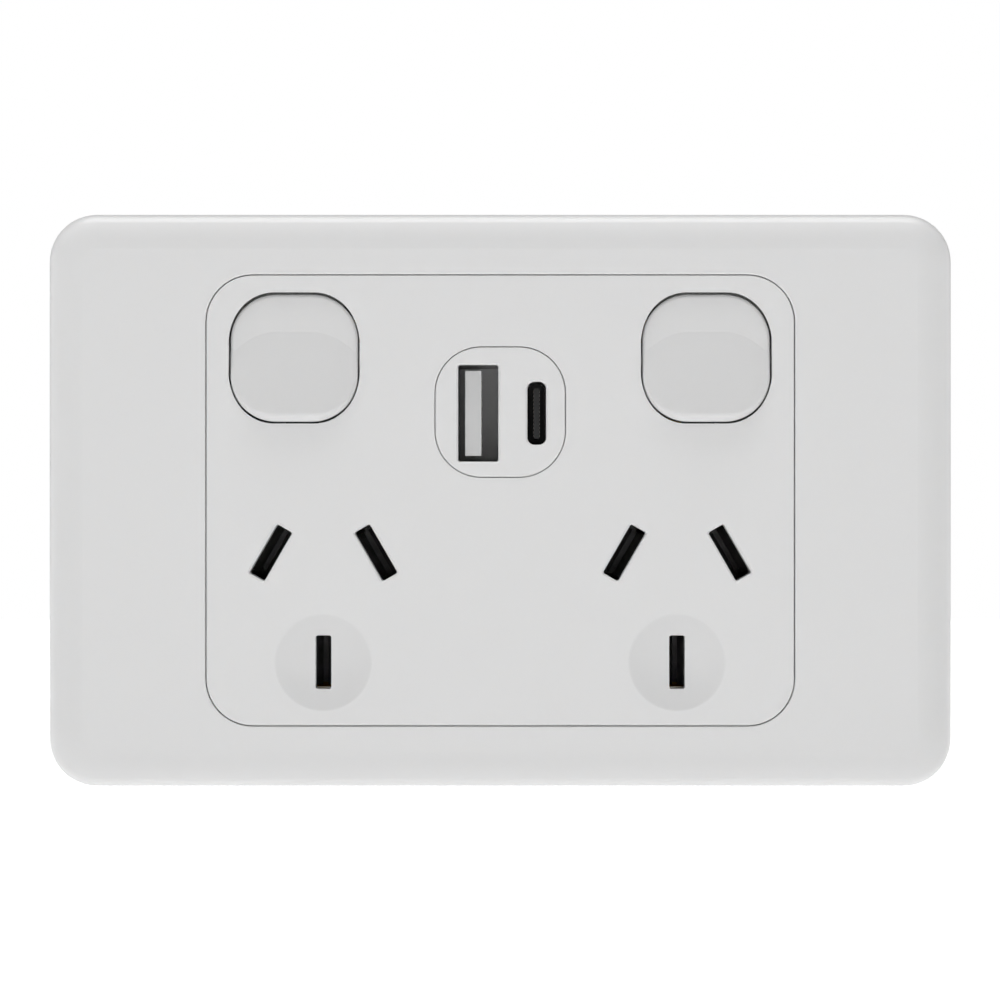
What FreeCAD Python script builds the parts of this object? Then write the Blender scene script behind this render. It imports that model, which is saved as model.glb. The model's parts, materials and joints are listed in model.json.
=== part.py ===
import FreeCAD, Part
import os
import re
import Sketcher
from FreeCAD import Placement, Rotation, Vector

# Double switched socket outlet with a USB charging insert, fixed over a flush wall box.
# X runs right, Y into the wall and Z up. The origin is the plate's centre on the wall's face,
# so depths are minus towards the room and plus into the wall. Lengths are millimetres.

SIZES = {
    # Cover plate: a shallow tray with a softly rolled edge
    "plate_width": 118.0,
    "plate_height": 74.8,
    "plate_corner": 6.2,
    "plate_stand": 8.6,
    "plate_wall": 1.9,
    "tray_fillet": 1.6,
    "edge_radius": 2.2,
    "edge_turn": 62.0,
    "roll_width": 4.6,
    "window_width": 76.8,
    "window_height": 58.88,
    "window_corner": 6.2,
    "hairline_round": 0.2,
    # Snap barbs of the cover and the lugs that they catch
    "barb_spread": 62.0,
    "barb_width": 8.0,
    "barb_reach": 1.1,
    "barb_ramp": 1.8,
    "lip_front": 5.6,
    "lip_thickness": 1.2,
    "lug_wall": 1.3,
    "snap_overlap": 0.5,
    "snap_gap": 0.2,
    # Grid plate: the flush panel and the flange behind the cover
    "panel_gap": 0.12,
    "panel_wall": 2.0,
    "panel_side": 1.8,
    "flange_gap": 1.3,
    "flange_thickness": 2.4,
    "mount_pitch": 84.0,
    "mount_slot_length": 7.5,
    "mount_slot_width": 4.3,
    # Pin openings, on the standard's 7.92 mm circle
    "socket_spacing": 46.1,
    "socket_drop": 10.78,
    "pin_circle": 7.92,
    "pin_angle": 60.0,
    "earth_drop": 10.31,
    "slot_tilt": 30.0,
    "slot_length": 7.35,
    "slot_width": 2.3,
    "earth_length": 7.0,
    "earth_width": 2.05,
    "slot_corner": 0.3,
    "slot_bevel": 0.25,
    "guide_depth": 1.5,
    "guide_wall": 1.3,
    "dish_diameter": 12.7,
    "dish_depth": 0.6,
    # Rockers, turning on a pivot behind the panel's face
    "rocker_spacing": 53.7,
    "rocker_rise": 18.55,
    "aperture_size": 17.08,
    "aperture_corner": 6.2,
    "rocker_gap": 0.24,
    "pivot_depth": 4.0,
    "swing": 12.0,
    "recess": 0.45,
    "crease_rise": 3.4,
    "paddle_tilt": 9.5,
    "paddle_body": 2.2,
    "crown_radius": 36.0,
    "rim_round": 0.45,
    "rocker_skin": 1.5,
    "barrel_diameter": 5.4,
    "barrel_bore": 3.9,
    "barrel_reach": 6.0,
    "barrel_floor": 1.0,
    "trunnion_diameter": 3.0,
    "trunnion_length": 1.05,
    "trunnion_fit": 0.05,
    "collar_wall": 1.56,
    "collar_height": 6.4,
    "keeper_gap": 0.1,
    # Spring plunger and the see-saw contact that it tips
    "plunger_diameter": 3.6,
    "plunger_reach": 8.6,
    "plunger_head": 4.0,
    "stem_diameter": 1.6,
    "stem_length": 3.4,
    "spring_diameter": 2.9,
    "spring_wire": 0.4,
    "spring_turns": 5.0,
    "seesaw_depth": 10.0,
    "seesaw_tilt": 7.0,
    "seesaw_front": 1.28,
    "seesaw_thickness": 0.8,
    "seesaw_width": 4.4,
    "seesaw_low": 5.0,
    "seesaw_high": 6.1,
    "ridge_radius": 0.5,
    "ridge_fit": 0.06,
    "saddle_width": 5.0,
    "saddle_height": 3.2,
    "tip_height": 4.8,
    "tip_diameter": 2.2,
    "tip_thickness": 0.9,
    "contact_gap": 0.08,
    # Rear housing inside the wall box
    "housing_gap": 0.12,
    "housing_front": 3.0,
    "housing_depth": 27.0,
    "housing_wall": 1.8,
    "housing_round": 1.2,
    "rib_wall": 1.4,
    "partition_reach": 12.4,
    "partition_low": 9.0,
    "partition_high": 19.5,
    "column_upper_x": 12.4,
    "column_upper_z": 12.0,
    "column_lower_x": 31.6,
    "column_lower_z": -21.0,
    "column_diameter": 8.4,
    "counterbore": 5.8,
    "head_seat": 6.0,
    "screw_diameter": 2.9,
    "screw_head": 5.2,
    "screw_head_height": 2.0,
    "cross_length": 3.1,
    "cross_width": 0.85,
    "cross_depth": 1.2,
    "screw_clearance": 0.15,
    "screw_fit": 0.05,
    "screw_inset": 0.5,
    "boss_diameter": 5.6,
    "post_diameter": 4.0,
    "post_gap": 0.1,
    "post_rise": 3.4,
    # Brass strips and the folded clips that grip the pins
    "strip_plane": 10.0,
    "strip_thickness": 0.8,
    "strip_width": 4.4,
    "clip_thickness": 0.6,
    "clip_length": 6.4,
    "clip_clearance": 0.6,
    "mouth_half": 1.35,
    "throat_half": 0.35,
    "throat_depth": 2.8,
    "back_half": 0.85,
    "neutral_bar_top": -12.0,
    "neutral_bar_height": 3.5,
    "earth_bar_top": -20.2,
    "bus_plane": 12.6,
    "bus_bar_bottom": 21.5,
    "bus_bar_height": 3.1,
    # Terminals: brass blocks with a wire bore from below and a clamp screw from behind
    "terminal_spacing": 15.0,
    "terminal_width": 7.2,
    "terminal_height": 9.8,
    "terminal_front": 12.4,
    "terminal_back": 21.2,
    "terminal_bore": 4.2,
    "terminal_gap": 0.2,
    "clamp_diameter": 3.0,
    "clamp_head": 5.0,
    "clamp_head_height": 1.4,
    "clamp_inset": 0.1,
    "clamp_slot": 0.8,
    "clamp_slot_depth": 0.7,
    "terminal_bevel": 0.25,
    "wire_hole": 5.4,
    "access_hole": 6.6,
    # USB insert with its two receptacles
    "usb_size": 16.93,
    "usb_corner": 6.0,
    "usb_gap": 0.1,
    "usb_rise": 11.5,
    "usb_face": 1.5,
    "usb_depth": 5.6,
    "usb_flange": 0.9,
    "port_drop": 0.14,
    "port_bevel": 0.25,
    "port_a_offset": -2.87,
    "port_a_width": 5.24,
    "port_a_height": 12.63,
    "port_a_length": 13.5,
    "tongue_a_offset": -0.65,
    "tongue_a_width": 2.1,
    "tongue_a_height": 11.1,
    "port_c_offset": 4.755,
    "port_c_width": 2.45,
    "port_c_height": 8.24,
    "port_c_corner": 0.95,
    "port_c_length": 8.5,
    "tongue_c_width": 0.7,
    "tongue_c_height": 6.6,
    "shell_wall": 0.3,
    "shell_fit": 0.08,
    "tab_diameter": 1.1,
    "tongue_setback": 1.3,
    "tongue_root": 1.6,
    "tongue_corner": 0.1,
    "pad_height": 0.05,
    "pad_setback": 1.2,
    # Charger electronics on an upright board between the receptacles
    "board_offset": 1.6,
    "board_thickness": 1.6,
    "board_front": 3.0,
    "board_back": 24.6,
    "board_low": -6.0,
    "board_high": 20.5,
    "guide_gap": 0.15,
    "guide_height": 3.2,
    "guide_length": 8.0,
    "core_width": 8.4,
    "core_depth": 11.0,
    "core_height": 12.0,
    "core_front": 9.0,
    "core_low": -1.5,
    "core_leg": 2.2,
    "winding_gap": 0.1,
    "input_can_diameter": 6.4,
    "input_can_length": 11.0,
    "output_can_diameter": 5.0,
    "output_can_length": 8.0,
    "can_bead": 0.35,
    "can_mouth": 1.4,
    "winding_round": 0.4,
}

doc = FreeCAD.newDocument("wall_socket")
sheet = doc.addObject("Spreadsheet::Sheet", "Sizes")
for row, (alias, size) in enumerate(SIZES.items(), start=1):
    sheet.set(f"A{row}", alias)
    sheet.set(f"B{row}", str(size))
    sheet.setAlias(f"B{row}", alias)
doc.recompute()

parts = []

# Which way a sketch's own axes run in the socket's frame, and the way its normal points
PLANES = {
    "front": ("XZ_Plane", ("x", "z", "-y"), "room"),
    "side": ("YZ_Plane", ("y", "z", "x"), "right"),
    "top": ("XY_Plane", ("x", "y", "z"), "up"),
}

# Derived sizes, as formulas over the sheet
FACE = "(-plate_stand)"
PANEL_BACK = "(panel_wall - plate_stand)"
PANEL_WIDTH = "(window_width - 2 * panel_gap)"
PANEL_HEIGHT = "(window_height - 2 * panel_gap)"
PANEL_CORNER = "(window_corner - panel_gap)"
CAVITY_WIDTH = f"({PANEL_WIDTH} - 2 * panel_side)"
CAVITY_HEIGHT = f"({PANEL_HEIGHT} - 2 * panel_side)"
CAVITY_CORNER = f"({PANEL_CORNER} - panel_side)"
TRAY_WIDTH = "(plate_width - 2 * plate_wall)"
TRAY_HEIGHT = "(plate_height - 2 * plate_wall)"
HOUSING_WIDTH = f"({CAVITY_WIDTH} - 2 * housing_gap)"
HOUSING_HEIGHT = f"({CAVITY_HEIGHT} - 2 * housing_gap)"
HOUSING_CORNER = f"({CAVITY_CORNER} - housing_gap)"
HOUSING_FLOOR = "(housing_depth - housing_wall)"
PIVOT_Y = "(pivot_depth - plate_stand)"
ROCKER_HALF = "(aperture_size / 2 - rocker_gap)"
ROCKER_CORNER = "(aperture_corner - rocker_gap)"
PORT_Z = "(usb_rise - port_drop)"
SEESAW_Y = f"({PIVOT_Y} + seesaw_depth)"
PIN_X = "(pin_circle * sin(pin_angle))"
PIN_Z = "(pin_circle * cos(pin_angle) - socket_drop)"
EARTH_Z = "(-socket_drop - earth_drop)"
STRIP_BACK = "(strip_plane + strip_thickness)"
TERMINAL_LOW = f"(-{HOUSING_HEIGHT} / 2 + housing_wall + terminal_gap)"
TERMINAL_TOP = f"({TERMINAL_LOW} + terminal_height)"
BORE_Y = "((terminal_front + terminal_back) / 2)"
BOARD_LEFT = "(board_offset - board_thickness / 2)"
BOARD_RIGHT = "(board_offset + board_thickness / 2)"
SIDES = {"left": -1, "right": 1}
PORT_CORNERS = {"a": "slot_corner", "c": "port_c_corner"}


def bound(formula):
    """The formula with each size's name pointed at the sheet."""
    return re.sub(r"[a-z][a-z0-9_]*", lambda word: f"Sizes.{word[0]}" if word[0] in SIZES else word[0],
                  str(formula))


def value(formula):
    """The number that a formula comes to."""
    return float(sheet.evalExpression(bound(formula)))


def bind(thing, field, formula):
    thing.setExpression(field, bound(formula))


def new_body(label):
    body = doc.addObject("PartDesign::Body", label)
    body.Label = label
    parts.append(body)
    return body


def sketch_on(body, plane, x="0", y="0", z="0"):
    """An empty sketch on one of the body's own planes, its origin moved to x, y, z."""
    role, axes, _ = PLANES[plane]
    sketch = body.newObject("Sketcher::SketchObject", f"{body.Label}_{plane}")
    origin_plane = next(item for item in body.Origin.OriginFeatures if item.Role == role)
    sketch.AttachmentSupport = (origin_plane, [""])
    sketch.MapMode = "FlatFace"
    place = {"x": x, "y": y, "z": z, "-y": f"-({y})"}
    for field, axis in zip("xyz", axes):
        bind(sketch, f"AttachmentOffset.Base.{field}", place[axis])
    return sketch


def dimension(sketch, sizes):
    """Sketch dimensions that follow formulas: each a kind, a formula and what it measures."""
    indices = sketch.addConstraint([Sketcher.Constraint(kind, *geometry, value(formula))
                                    for kind, formula, *geometry in sizes])
    for index, (_, formula, *_) in zip(indices, sizes):
        bind(sketch, f"Constraints[{index}]", formula)


def outline(sketch, points):
    """A closed loop through points (across, up) or (across, up, via), where via bends the next side."""
    spots = [Vector(value(point[0]), value(point[1]), 0) for point in points]
    vias = {number: Vector(value(point[2][0]), value(point[2][1]), 0)
            for number, point in enumerate(points) if len(point) == 3}
    sides = []
    for number, begin in enumerate(spots):
        finish = spots[(number + 1) % len(spots)]
        sides.append(Part.Arc(begin, vias[number], finish) if number in vias else Part.LineSegment(begin, finish))
    indices = sketch.addGeometry(sides, False)
    marks = dict(zip(vias, sketch.addGeometry([Part.Point(via) for via in vias.values()], True))) if vias else {}
    starts = [1 if sketch.getPoint(index, 1).isEqual(begin, 1e-6) else 2 for index, begin in zip(indices, spots)]
    sizes = []
    joins = []
    for number, point in enumerate(points):
        after = (number + 1) % len(points)
        joins.append(Sketcher.Constraint(
            "Coincident", indices[number], 3 - starts[number], indices[after], starts[after]))
        sizes.append(("DistanceX", point[0], -1, 1, indices[number], starts[number]))
        sizes.append(("DistanceY", point[1], -1, 1, indices[number], starts[number]))
        if number in marks:
            joins.append(Sketcher.Constraint("PointOnObject", marks[number], 1, indices[number]))
            sizes.append(("DistanceX", point[2][0], -1, 1, marks[number], 1))
            sizes.append(("DistanceY", point[2][1], -1, 1, marks[number], 1))
    sketch.addConstraint(joins)
    dimension(sketch, sizes)


def rectangle(sketch, left, right, low, high):
    outline(sketch, [(left, low), (right, low), (right, high), (left, high)])


def rounded_rectangle(sketch, width, height, radius, turn="0", start_in_middle=False):
    """A rounded rectangle about the sketch's origin, turned clockwise by turn degrees."""
    def turned(across, up):
        return (f"({across}) * cos({turn}) + ({up}) * sin({turn})",
                f"({up}) * cos({turn}) - ({across}) * sin({turn})")

    points = []
    if start_in_middle:
        points.append(turned("0", f"-({height}) / 2"))
    for side_x, side_z, flat_first in ((1, -1, True), (1, 1, False), (-1, 1, True), (-1, -1, False)):
        flat = turned(f"{side_x} * (({width}) / 2 - {radius})", f"{side_z} * ({height}) / 2")
        side = turned(f"{side_x} * ({width}) / 2", f"{side_z} * (({height}) / 2 - {radius})")
        via = turned(f"{side_x} * (({width}) / 2 - {radius} * (1 - cos(45)))",
                     f"{side_z} * (({height}) / 2 - {radius} * (1 - cos(45)))")
        begin, finish = (flat, side) if flat_first else (side, flat)
        points += [(*begin, via), finish]
    outline(sketch, points)


def obround(sketch, length, width):
    """A slot with round ends along the sketch's first axis."""
    straight = f"(({length}) - ({width})) / 2"
    outline(sketch, [(f"-{straight}", f"-({width}) / 2"), (straight, f"-({width}) / 2", (f"({length}) / 2", "0")),
                     (straight, f"({width}) / 2"), (f"-{straight}", f"({width}) / 2", (f"-({length}) / 2", "0"))])


def circle(sketch, diameter, across="0", up="0"):
    ring = Part.Circle(Vector(value(across), value(up), 0), Vector(0, 0, 1), value(diameter) / 2)
    index = sketch.addGeometry(ring, False)
    dimension(sketch, [("DistanceX", across, -1, 1, index, 3), ("DistanceY", up, -1, 1, index, 3),
                       ("Diameter", diameter, index)])


def feature(body, kind, sketch):
    item = body.newObject(f"PartDesign::{kind}", f"{body.Label}_{kind.lower()}")
    item.Profile = sketch
    sketch.Visibility = False
    return item


def pad(body, sketch, length, towards):
    """Material from the sketch, towards the room, the wall, the right, the left or down."""
    item = feature(body, "Pad", sketch)
    item.Reversed = towards in ("wall", "left", "down")
    bind(item, "Length", length)


def pocket(body, sketch, length, towards):
    """A cut from the sketch, towards the room, the wall, the right or the left."""
    item = feature(body, "Pocket", sketch)
    item.Reversed = towards in ("room", "right")
    bind(item, "Length", length)


def revolve(body, kind, sketch, axis):
    """A full turn of the sketch about its own H_Axis or V_Axis."""
    item = feature(body, kind, sketch)
    item.ReferenceAxis = (sketch, [axis])
    item.Angle = 360


def dress(body, kind, size, wanted):
    """A fillet or chamfer on each edge of the body so far for which wanted is true."""
    doc.recompute()
    base = body.Tip
    names = [f"Edge{number}" for number, edge in enumerate(base.Shape.Edges, start=1) if wanted(edge)]
    item = body.newObject(f"PartDesign::{kind}", f"{body.Label}_{kind.lower()}")
    item.Base = (base, names)
    bind(item, "Radius" if kind == "Fillet" else "Size", size)


def lies_at_depth(edge, depth):
    """Whether the whole edge lies in the plane at that depth."""
    box = edge.BoundBox
    return abs(box.YMin - depth) < 1e-4 and abs(box.YMax - depth) < 1e-4


def plate_shape(points, front, thickness):
    """A flat strip: the polygon of (x, z) formulas, from its front depth back by its thickness."""
    depth = value(front)
    corners = [Vector(value(x), depth, value(z)) for x, z in points]
    face = Part.Face(Part.makePolygon(corners + corners[:1]))
    return face.extrude(Vector(0, value(thickness), 0))


def box_shape(low, high):
    """A box between two corners, each three formulas."""
    near = Vector(*[value(each) for each in low])
    span = Vector(*[value(each) for each in high]) - near
    return Part.makeBox(span.x, span.y, span.z, near)


def rod_shape(diameter, length, start, along):
    """A round rod from its start, three formulas, along a direction."""
    return Part.makeCylinder(value(diameter) / 2, value(length), Vector(*[value(each) for each in start]), along)


def new_solid(label, shape):
    """A sub-part made straight from a shape."""
    item = doc.addObject("Part::Feature", label)
    item.Label = label
    item.Shape = shape
    parts.append(item)
    return item


def cover_plate():
    """The clip-on surround: rolled edge, open back, window for the panel and four barbs inside."""
    body = new_body("cover_plate")
    plate = sketch_on(body, "front")
    rounded_rectangle(plate, "plate_width", "plate_height", "plate_corner")
    pad(body, plate, "plate_stand", "room")
    roll_edge(body)
    tray = sketch_on(body, "front")
    rounded_rectangle(tray, TRAY_WIDTH, TRAY_HEIGHT, "(plate_corner - plate_wall)")
    pocket(body, tray, "plate_stand - plate_wall", "room")
    floor = value("plate_wall - plate_stand")
    dress(body, "Fillet", "tray_fillet", lambda edge: lies_at_depth(edge, floor))
    window = sketch_on(body, "front", y=FACE)
    rounded_rectangle(window, "window_width", "window_height", "window_corner")
    pocket(body, window, "plate_stand", "wall")
    face = value(FACE)
    dress(body, "Fillet", "hairline_round",
          lambda edge: lies_at_depth(edge, face) and edge.BoundBox.XLength < value("window_width") + 1
          and abs(edge.CenterOfMass.x) < value("window_width") / 2 + 1
          and abs(edge.CenterOfMass.z) < value("window_height") / 2 + 1)
    for across in (-1, 1):
        for up in (-1, 1):
            barb(body, across, up)


def roll_edge(body):
    """Cuts the plate's front edge to a tight arc that runs on into a gentle one."""
    path = sketch_on(body, "front", y=FACE)
    rounded_rectangle(path, "plate_width", "plate_height", "plate_corner", start_in_middle=True)
    gentle = "(edge_radius + (roll_width - edge_radius) / cos(edge_turn))"
    drop = f"({gentle} - ({gentle} - edge_radius) * sin(edge_turn))"
    section = sketch_on(body, "side", y=FACE, z="-plate_height / 2")

    def on_tight(turn):
        return f"{drop} - edge_radius * sin({turn})", f"edge_radius * (1 - cos({turn}))"

    def on_gentle(turn):
        return f"{gentle} * (1 - sin({turn}))", f"roll_width - {gentle} * cos({turn})"

    outline(section, [("-plate_wall", "-plate_wall"), (drop, "-plate_wall"),
                      (drop, "0", on_tight("edge_turn / 2")),
                      (*on_tight("edge_turn"), on_gentle("(edge_turn + 90) / 2")),
                      ("0", "roll_width"), ("-plate_wall", "roll_width")])
    doc.recompute()
    cut = feature(body, "SubtractivePipe", section)
    cut.Spine = (path, [f"Edge{number + 1}" for number in range(len(path.Shape.Edges))])
    path.Visibility = False


def barb(body, across, up):
    """One snap barb on the tray's long wall."""
    wall = f"{up} * {TRAY_HEIGHT} / 2"
    profile = sketch_on(body, "side", x=f"{across} * barb_spread / 2 - barb_width / 2",
                        y="lip_thickness + snap_gap - lip_front", z=wall)
    outline(profile, [("0", f"{up} * plate_wall / 2"), ("barb_reach / 2 + barb_ramp", f"{up} * plate_wall / 2"),
                      ("barb_reach / 2 + barb_ramp", "0"), ("barb_reach / 2", f"{-up} * barb_reach"),
                      ("0", f"{-up} * barb_reach")])
    pad(body, profile, "barb_width", "right")


def grid_plate():
    """The panel and its flange: one moulding that carries rockers, sockets and insert."""
    body = new_body("grid_plate")
    flange = sketch_on(body, "front")
    rounded_rectangle(flange, f"{TRAY_WIDTH} - 2 * flange_gap", f"{TRAY_HEIGHT} - 2 * flange_gap",
                      "(plate_corner - plate_wall)")
    pad(body, flange, "flange_thickness", "room")
    block = sketch_on(body, "front")
    rounded_rectangle(block, PANEL_WIDTH, PANEL_HEIGHT, PANEL_CORNER)
    pad(body, block, "plate_stand", "room")
    face = value(FACE)
    dress(body, "Fillet", "hairline_round", lambda edge: lies_at_depth(edge, face))
    cavity = sketch_on(body, "front")
    rounded_rectangle(cavity, CAVITY_WIDTH, CAVITY_HEIGHT, CAVITY_CORNER)
    pocket(body, cavity, "plate_stand - panel_wall", "room")
    for side in SIDES.values():
        socket_guides(body, side)
        rocker_collars(body, side)
    for x, z in column_places():
        boss(body, x, z)
    for side in SIDES.values():
        rocker_aperture(body, side)
        socket_dish(body, side)
        socket_slots(body, side)
    usb_window = sketch_on(body, "front", y=FACE, z="usb_rise")
    rounded_rectangle(usb_window, "(usb_size + 2 * usb_gap)", "(usb_size + 2 * usb_gap)", "(usb_corner + usb_gap)")
    pocket(body, usb_window, "panel_wall", "wall")
    for side in SIDES.values():
        mount_slot = sketch_on(body, "front", x=f"{side} * mount_pitch / 2")
        obround(mount_slot, "mount_slot_length", "mount_slot_width")
        pocket(body, mount_slot, "flange_thickness", "room")
        for up in (-1, 1):
            snap_lug(body, side, up)


def slot_places(side):
    """The three pin openings of one socket: x, z, tilt, length and width."""
    middle = f"{side} * socket_spacing / 2"
    return [(f"({middle} - {PIN_X})", PIN_Z, "slot_tilt", "slot_length", "slot_width"),
            (f"({middle} + {PIN_X})", PIN_Z, "-slot_tilt", "slot_length", "slot_width"),
            (f"({middle})", EARTH_Z, "0", "earth_length", "earth_width")]


def socket_guides(body, side):
    """A short chimney behind each pin opening."""
    for x, z, tilt, length, width in slot_places(side):
        guide = sketch_on(body, "front", x=x, y=PANEL_BACK, z=z)
        rounded_rectangle(guide, f"({width} + 2 * guide_wall)", f"({length} + 2 * guide_wall)", "guide_wall", tilt)
        pad(body, guide, "guide_depth", "wall")


def socket_slots(body, side):
    """The pin openings, each with a fine bevel at the face."""
    for x, z, tilt, length, width in slot_places(side):
        slot = sketch_on(body, "front", x=x, y=FACE, z=z)
        rounded_rectangle(slot, width, length, "slot_corner", tilt)
        pocket(body, slot, "panel_wall + guide_depth", "wall")
    face = value(FACE)
    spots = [Vector(value(x), 0, value(z)) for x, z, *_ in slot_places(side)[:2]]
    reach = value("slot_length") / 2 + 0.1
    dress(body, "Chamfer", "slot_bevel",
          lambda edge: lies_at_depth(edge, face)
          and any((Vector(edge.CenterOfMass.x, 0, edge.CenterOfMass.z) - spot).Length < reach for spot in spots))


def socket_dish(body, side):
    """The shallow round hollow about the earth opening."""
    rim = "dish_diameter / 2"
    ball = f"(({rim}) ^ 2 + dish_depth ^ 2) / (2 * dish_depth)"
    dish = sketch_on(body, "top", x=f"{side} * socket_spacing / 2", y=FACE, z=EARTH_Z)
    outline(dish, [("0", "-dish_depth"), (rim, "-dish_depth"),
                   (rim, "0", (f"{rim} / 2", f"dish_depth - {ball} + sqrt(({ball}) ^ 2 - ({rim} / 2) ^ 2)")),
                   ("0", "dish_depth")])
    revolve(body, "Groove", dish, "V_Axis")


def hull_edge(half, corner):
    """The rocker's outline as radii about its pivot, left to right: turned, it fills the aperture."""
    inner = f"({half} - {corner})"
    diagonal = f"({half} - {corner} * (1 - cos(45)))"

    def radius(up):
        return f"-sqrt(({up}) ^ 2 + pivot_depth ^ 2)"

    return [(f"-{half}", radius(inner), (f"-{diagonal}", radius(diagonal))), (f"-{inner}", radius(half)),
            (inner, radius(half), (diagonal, radius(diagonal))), (half, radius(inner))]


def rocker_aperture(body, side):
    """The rocker's opening: round about the pivot, so that the gap stays even as it swings."""
    hull = sketch_on(body, "top", x=f"{side} * rocker_spacing / 2", y=PIVOT_Y, z="rocker_rise")
    half = "(aperture_size / 2)"
    outline(hull, [*hull_edge(half, "aperture_corner"), (half, "0"), (f"-{half}", "0")])
    revolve(body, "Groove", hull, "H_Axis")
    for way in (-1, 1):
        notch = sketch_on(body, "side", x=f"{side} * rocker_spacing / 2 + {way} * aperture_size / 2",
                          y=PIVOT_Y, z="rocker_rise")
        bearing = "(trunnion_diameter / 2 + trunnion_fit)"
        outline(notch, [("0", f"-{bearing}"), ("pivot_depth", f"-{bearing}"), ("pivot_depth", bearing),
                        ("0", bearing, (f"-{bearing}", "0"))])
        pocket(body, notch, "min(collar_wall; aperture_size / 2)" if side != way else
               f"{CAVITY_WIDTH} / 2 - rocker_spacing / 2 - aperture_size / 2",
               "right" if way > 0 else "left")


def rocker_collars(body, side):
    """The two bearings of a rocker, open at the back until the housing closes them."""
    for way in (-1, 1):
        collar = sketch_on(body, "side", x=f"{side} * rocker_spacing / 2 + {way} * aperture_size / 2",
                           y=PANEL_BACK, z="rocker_rise")
        depth = "(pivot_depth + trunnion_diameter / 2 - panel_wall - keeper_gap)"
        rectangle(collar, "-panel_wall / 2", depth, "-collar_height / 2", "collar_height / 2")
        pad(body, collar, "collar_wall", "right" if way > 0 else "left")


def column_places():
    """Where the four housing screws run, as x and z."""
    return [(f"{side} * column_{level}_x", f"column_{level}_z") for level in ("upper", "lower") for side in (-1, 1)]


def boss(body, x, z):
    """A screw boss behind the panel, with its pilot hole."""
    pillar = sketch_on(body, "front", x=x, y=PANEL_BACK, z=z)
    circle(pillar, "boss_diameter")
    circle(pillar, "screw_diameter + 2 * screw_fit")
    pad(body, pillar, "plate_stand - panel_wall - housing_front - keeper_gap", "wall")


def snap_lug(body, side, up):
    """A lug on the flange with the lip that a barb snaps behind."""
    lip = f"({up} * ({TRAY_HEIGHT} / 2 - barb_reach + snap_overlap))"
    inner = f"({up} * ({TRAY_HEIGHT} / 2 - barb_reach - snap_gap))"
    profile = sketch_on(body, "side", x=f"{side} * barb_spread / 2 - barb_width / 2")
    outline(profile, [("-flange_thickness / 2", f"{inner} - {up} * lug_wall"),
                      ("-lip_front", f"{inner} - {up} * lug_wall"), ("-lip_front", inner),
                      ("-lip_front + lip_thickness / 2", lip), ("-lip_front + lip_thickness", lip),
                      ("-lip_front + lip_thickness", inner), ("-flange_thickness / 2", inner)])
    pad(body, profile, "barb_width", "right")


def rear_housing():
    """The box behind the panel, with screw columns, ribs and terminal openings."""
    body = new_body("rear_housing")
    shell = sketch_on(body, "front", y="-housing_front")
    rounded_rectangle(shell, HOUSING_WIDTH, HOUSING_HEIGHT, HOUSING_CORNER)
    pad(body, shell, "housing_front + housing_depth", "wall")
    back = value("housing_depth")
    dress(body, "Fillet", "housing_round", lambda edge: lies_at_depth(edge, back))
    inside = sketch_on(body, "front", y="-housing_front")
    rounded_rectangle(inside, f"{HOUSING_WIDTH} - 2 * housing_wall", f"{HOUSING_HEIGHT} - 2 * housing_wall",
                      f"({HOUSING_CORNER} - housing_wall)")
    pocket(body, inside, f"housing_front + {HOUSING_FLOOR}", "wall")
    for x, z in column_places():
        column = sketch_on(body, "front", x=x, y="-housing_front", z=z)
        circle(column, "column_diameter")
        pad(body, column, f"housing_front + {HOUSING_FLOOR}", "wall")
    for side in SIDES.values():
        housing_ribs(body, side)
    board_guides(body)
    for x, z in column_places():
        hole = sketch_on(body, "front", x=x, y="-housing_front", z=z)
        circle(hole, "screw_diameter + 2 * screw_clearance")
        pocket(body, hole, "housing_front + housing_depth", "wall")
        wide = sketch_on(body, "front", x=x, y="head_seat", z=z)
        circle(wide, "counterbore")
        pocket(body, wide, "housing_depth - head_seat", "wall")
    for x in terminal_places().values():
        terminal_openings(body, x)


def housing_ribs(body, side):
    """A partition beside the charger, the rib that closes a rocker's bearing, and a strip's post."""
    partition = sketch_on(body, "front", x=f"{side} * partition_reach", y="-housing_front")
    rectangle(partition, "-rib_wall / 2", "rib_wall / 2", "-partition_low", "partition_high")
    pad(body, partition, f"housing_front + {HOUSING_FLOOR}", "wall")
    near = f"{side} * (rocker_spacing / 2 - aperture_size / 2)"
    keeper = sketch_on(body, "front", x=near, y="-housing_front")
    far_edge = f"{-side} * collar_wall"
    rectangle(keeper, *sorted((far_edge, "0"), key=value), "rocker_rise - collar_height / 2",
              f"{HOUSING_HEIGHT} / 2 - housing_wall / 2")
    pad(body, keeper, "housing_front + strip_plane - strip_thickness", "wall")
    post = sketch_on(body, "front", x=f"{side} * rocker_spacing / 2", y=f"{STRIP_BACK} + post_gap", z="post_rise")
    circle(post, "post_diameter")
    pad(body, post, f"{HOUSING_FLOOR} - {STRIP_BACK} - post_gap", "wall")


def board_guides(body):
    """Two grooved blocks on the housing's floor that hold the charger board upright."""
    for edge, way in (("board_low", -1), ("board_high", 1)):
        block = sketch_on(body, "front", x="board_offset", y=f"{HOUSING_FLOOR} - guide_length", z=edge)
        rectangle(block, "-board_thickness / 2 - rib_wall", "board_thickness / 2 + rib_wall",
                  *(("-guide_height / 4", "guide_height * 3 / 4") if way < 0 else
                    ("-guide_height * 3 / 4", "guide_height / 4")))
        pad(body, block, "guide_length", "wall")
        groove = sketch_on(body, "front", x="board_offset", y=f"{HOUSING_FLOOR} - guide_length", z=edge)
        rectangle(groove, "-board_thickness / 2 - guide_gap", "board_thickness / 2 + guide_gap",
                  *(("-guide_gap", "guide_height") if way < 0 else ("-guide_height", "guide_gap")))
        pocket(body, groove, "guide_length", "wall")


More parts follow.
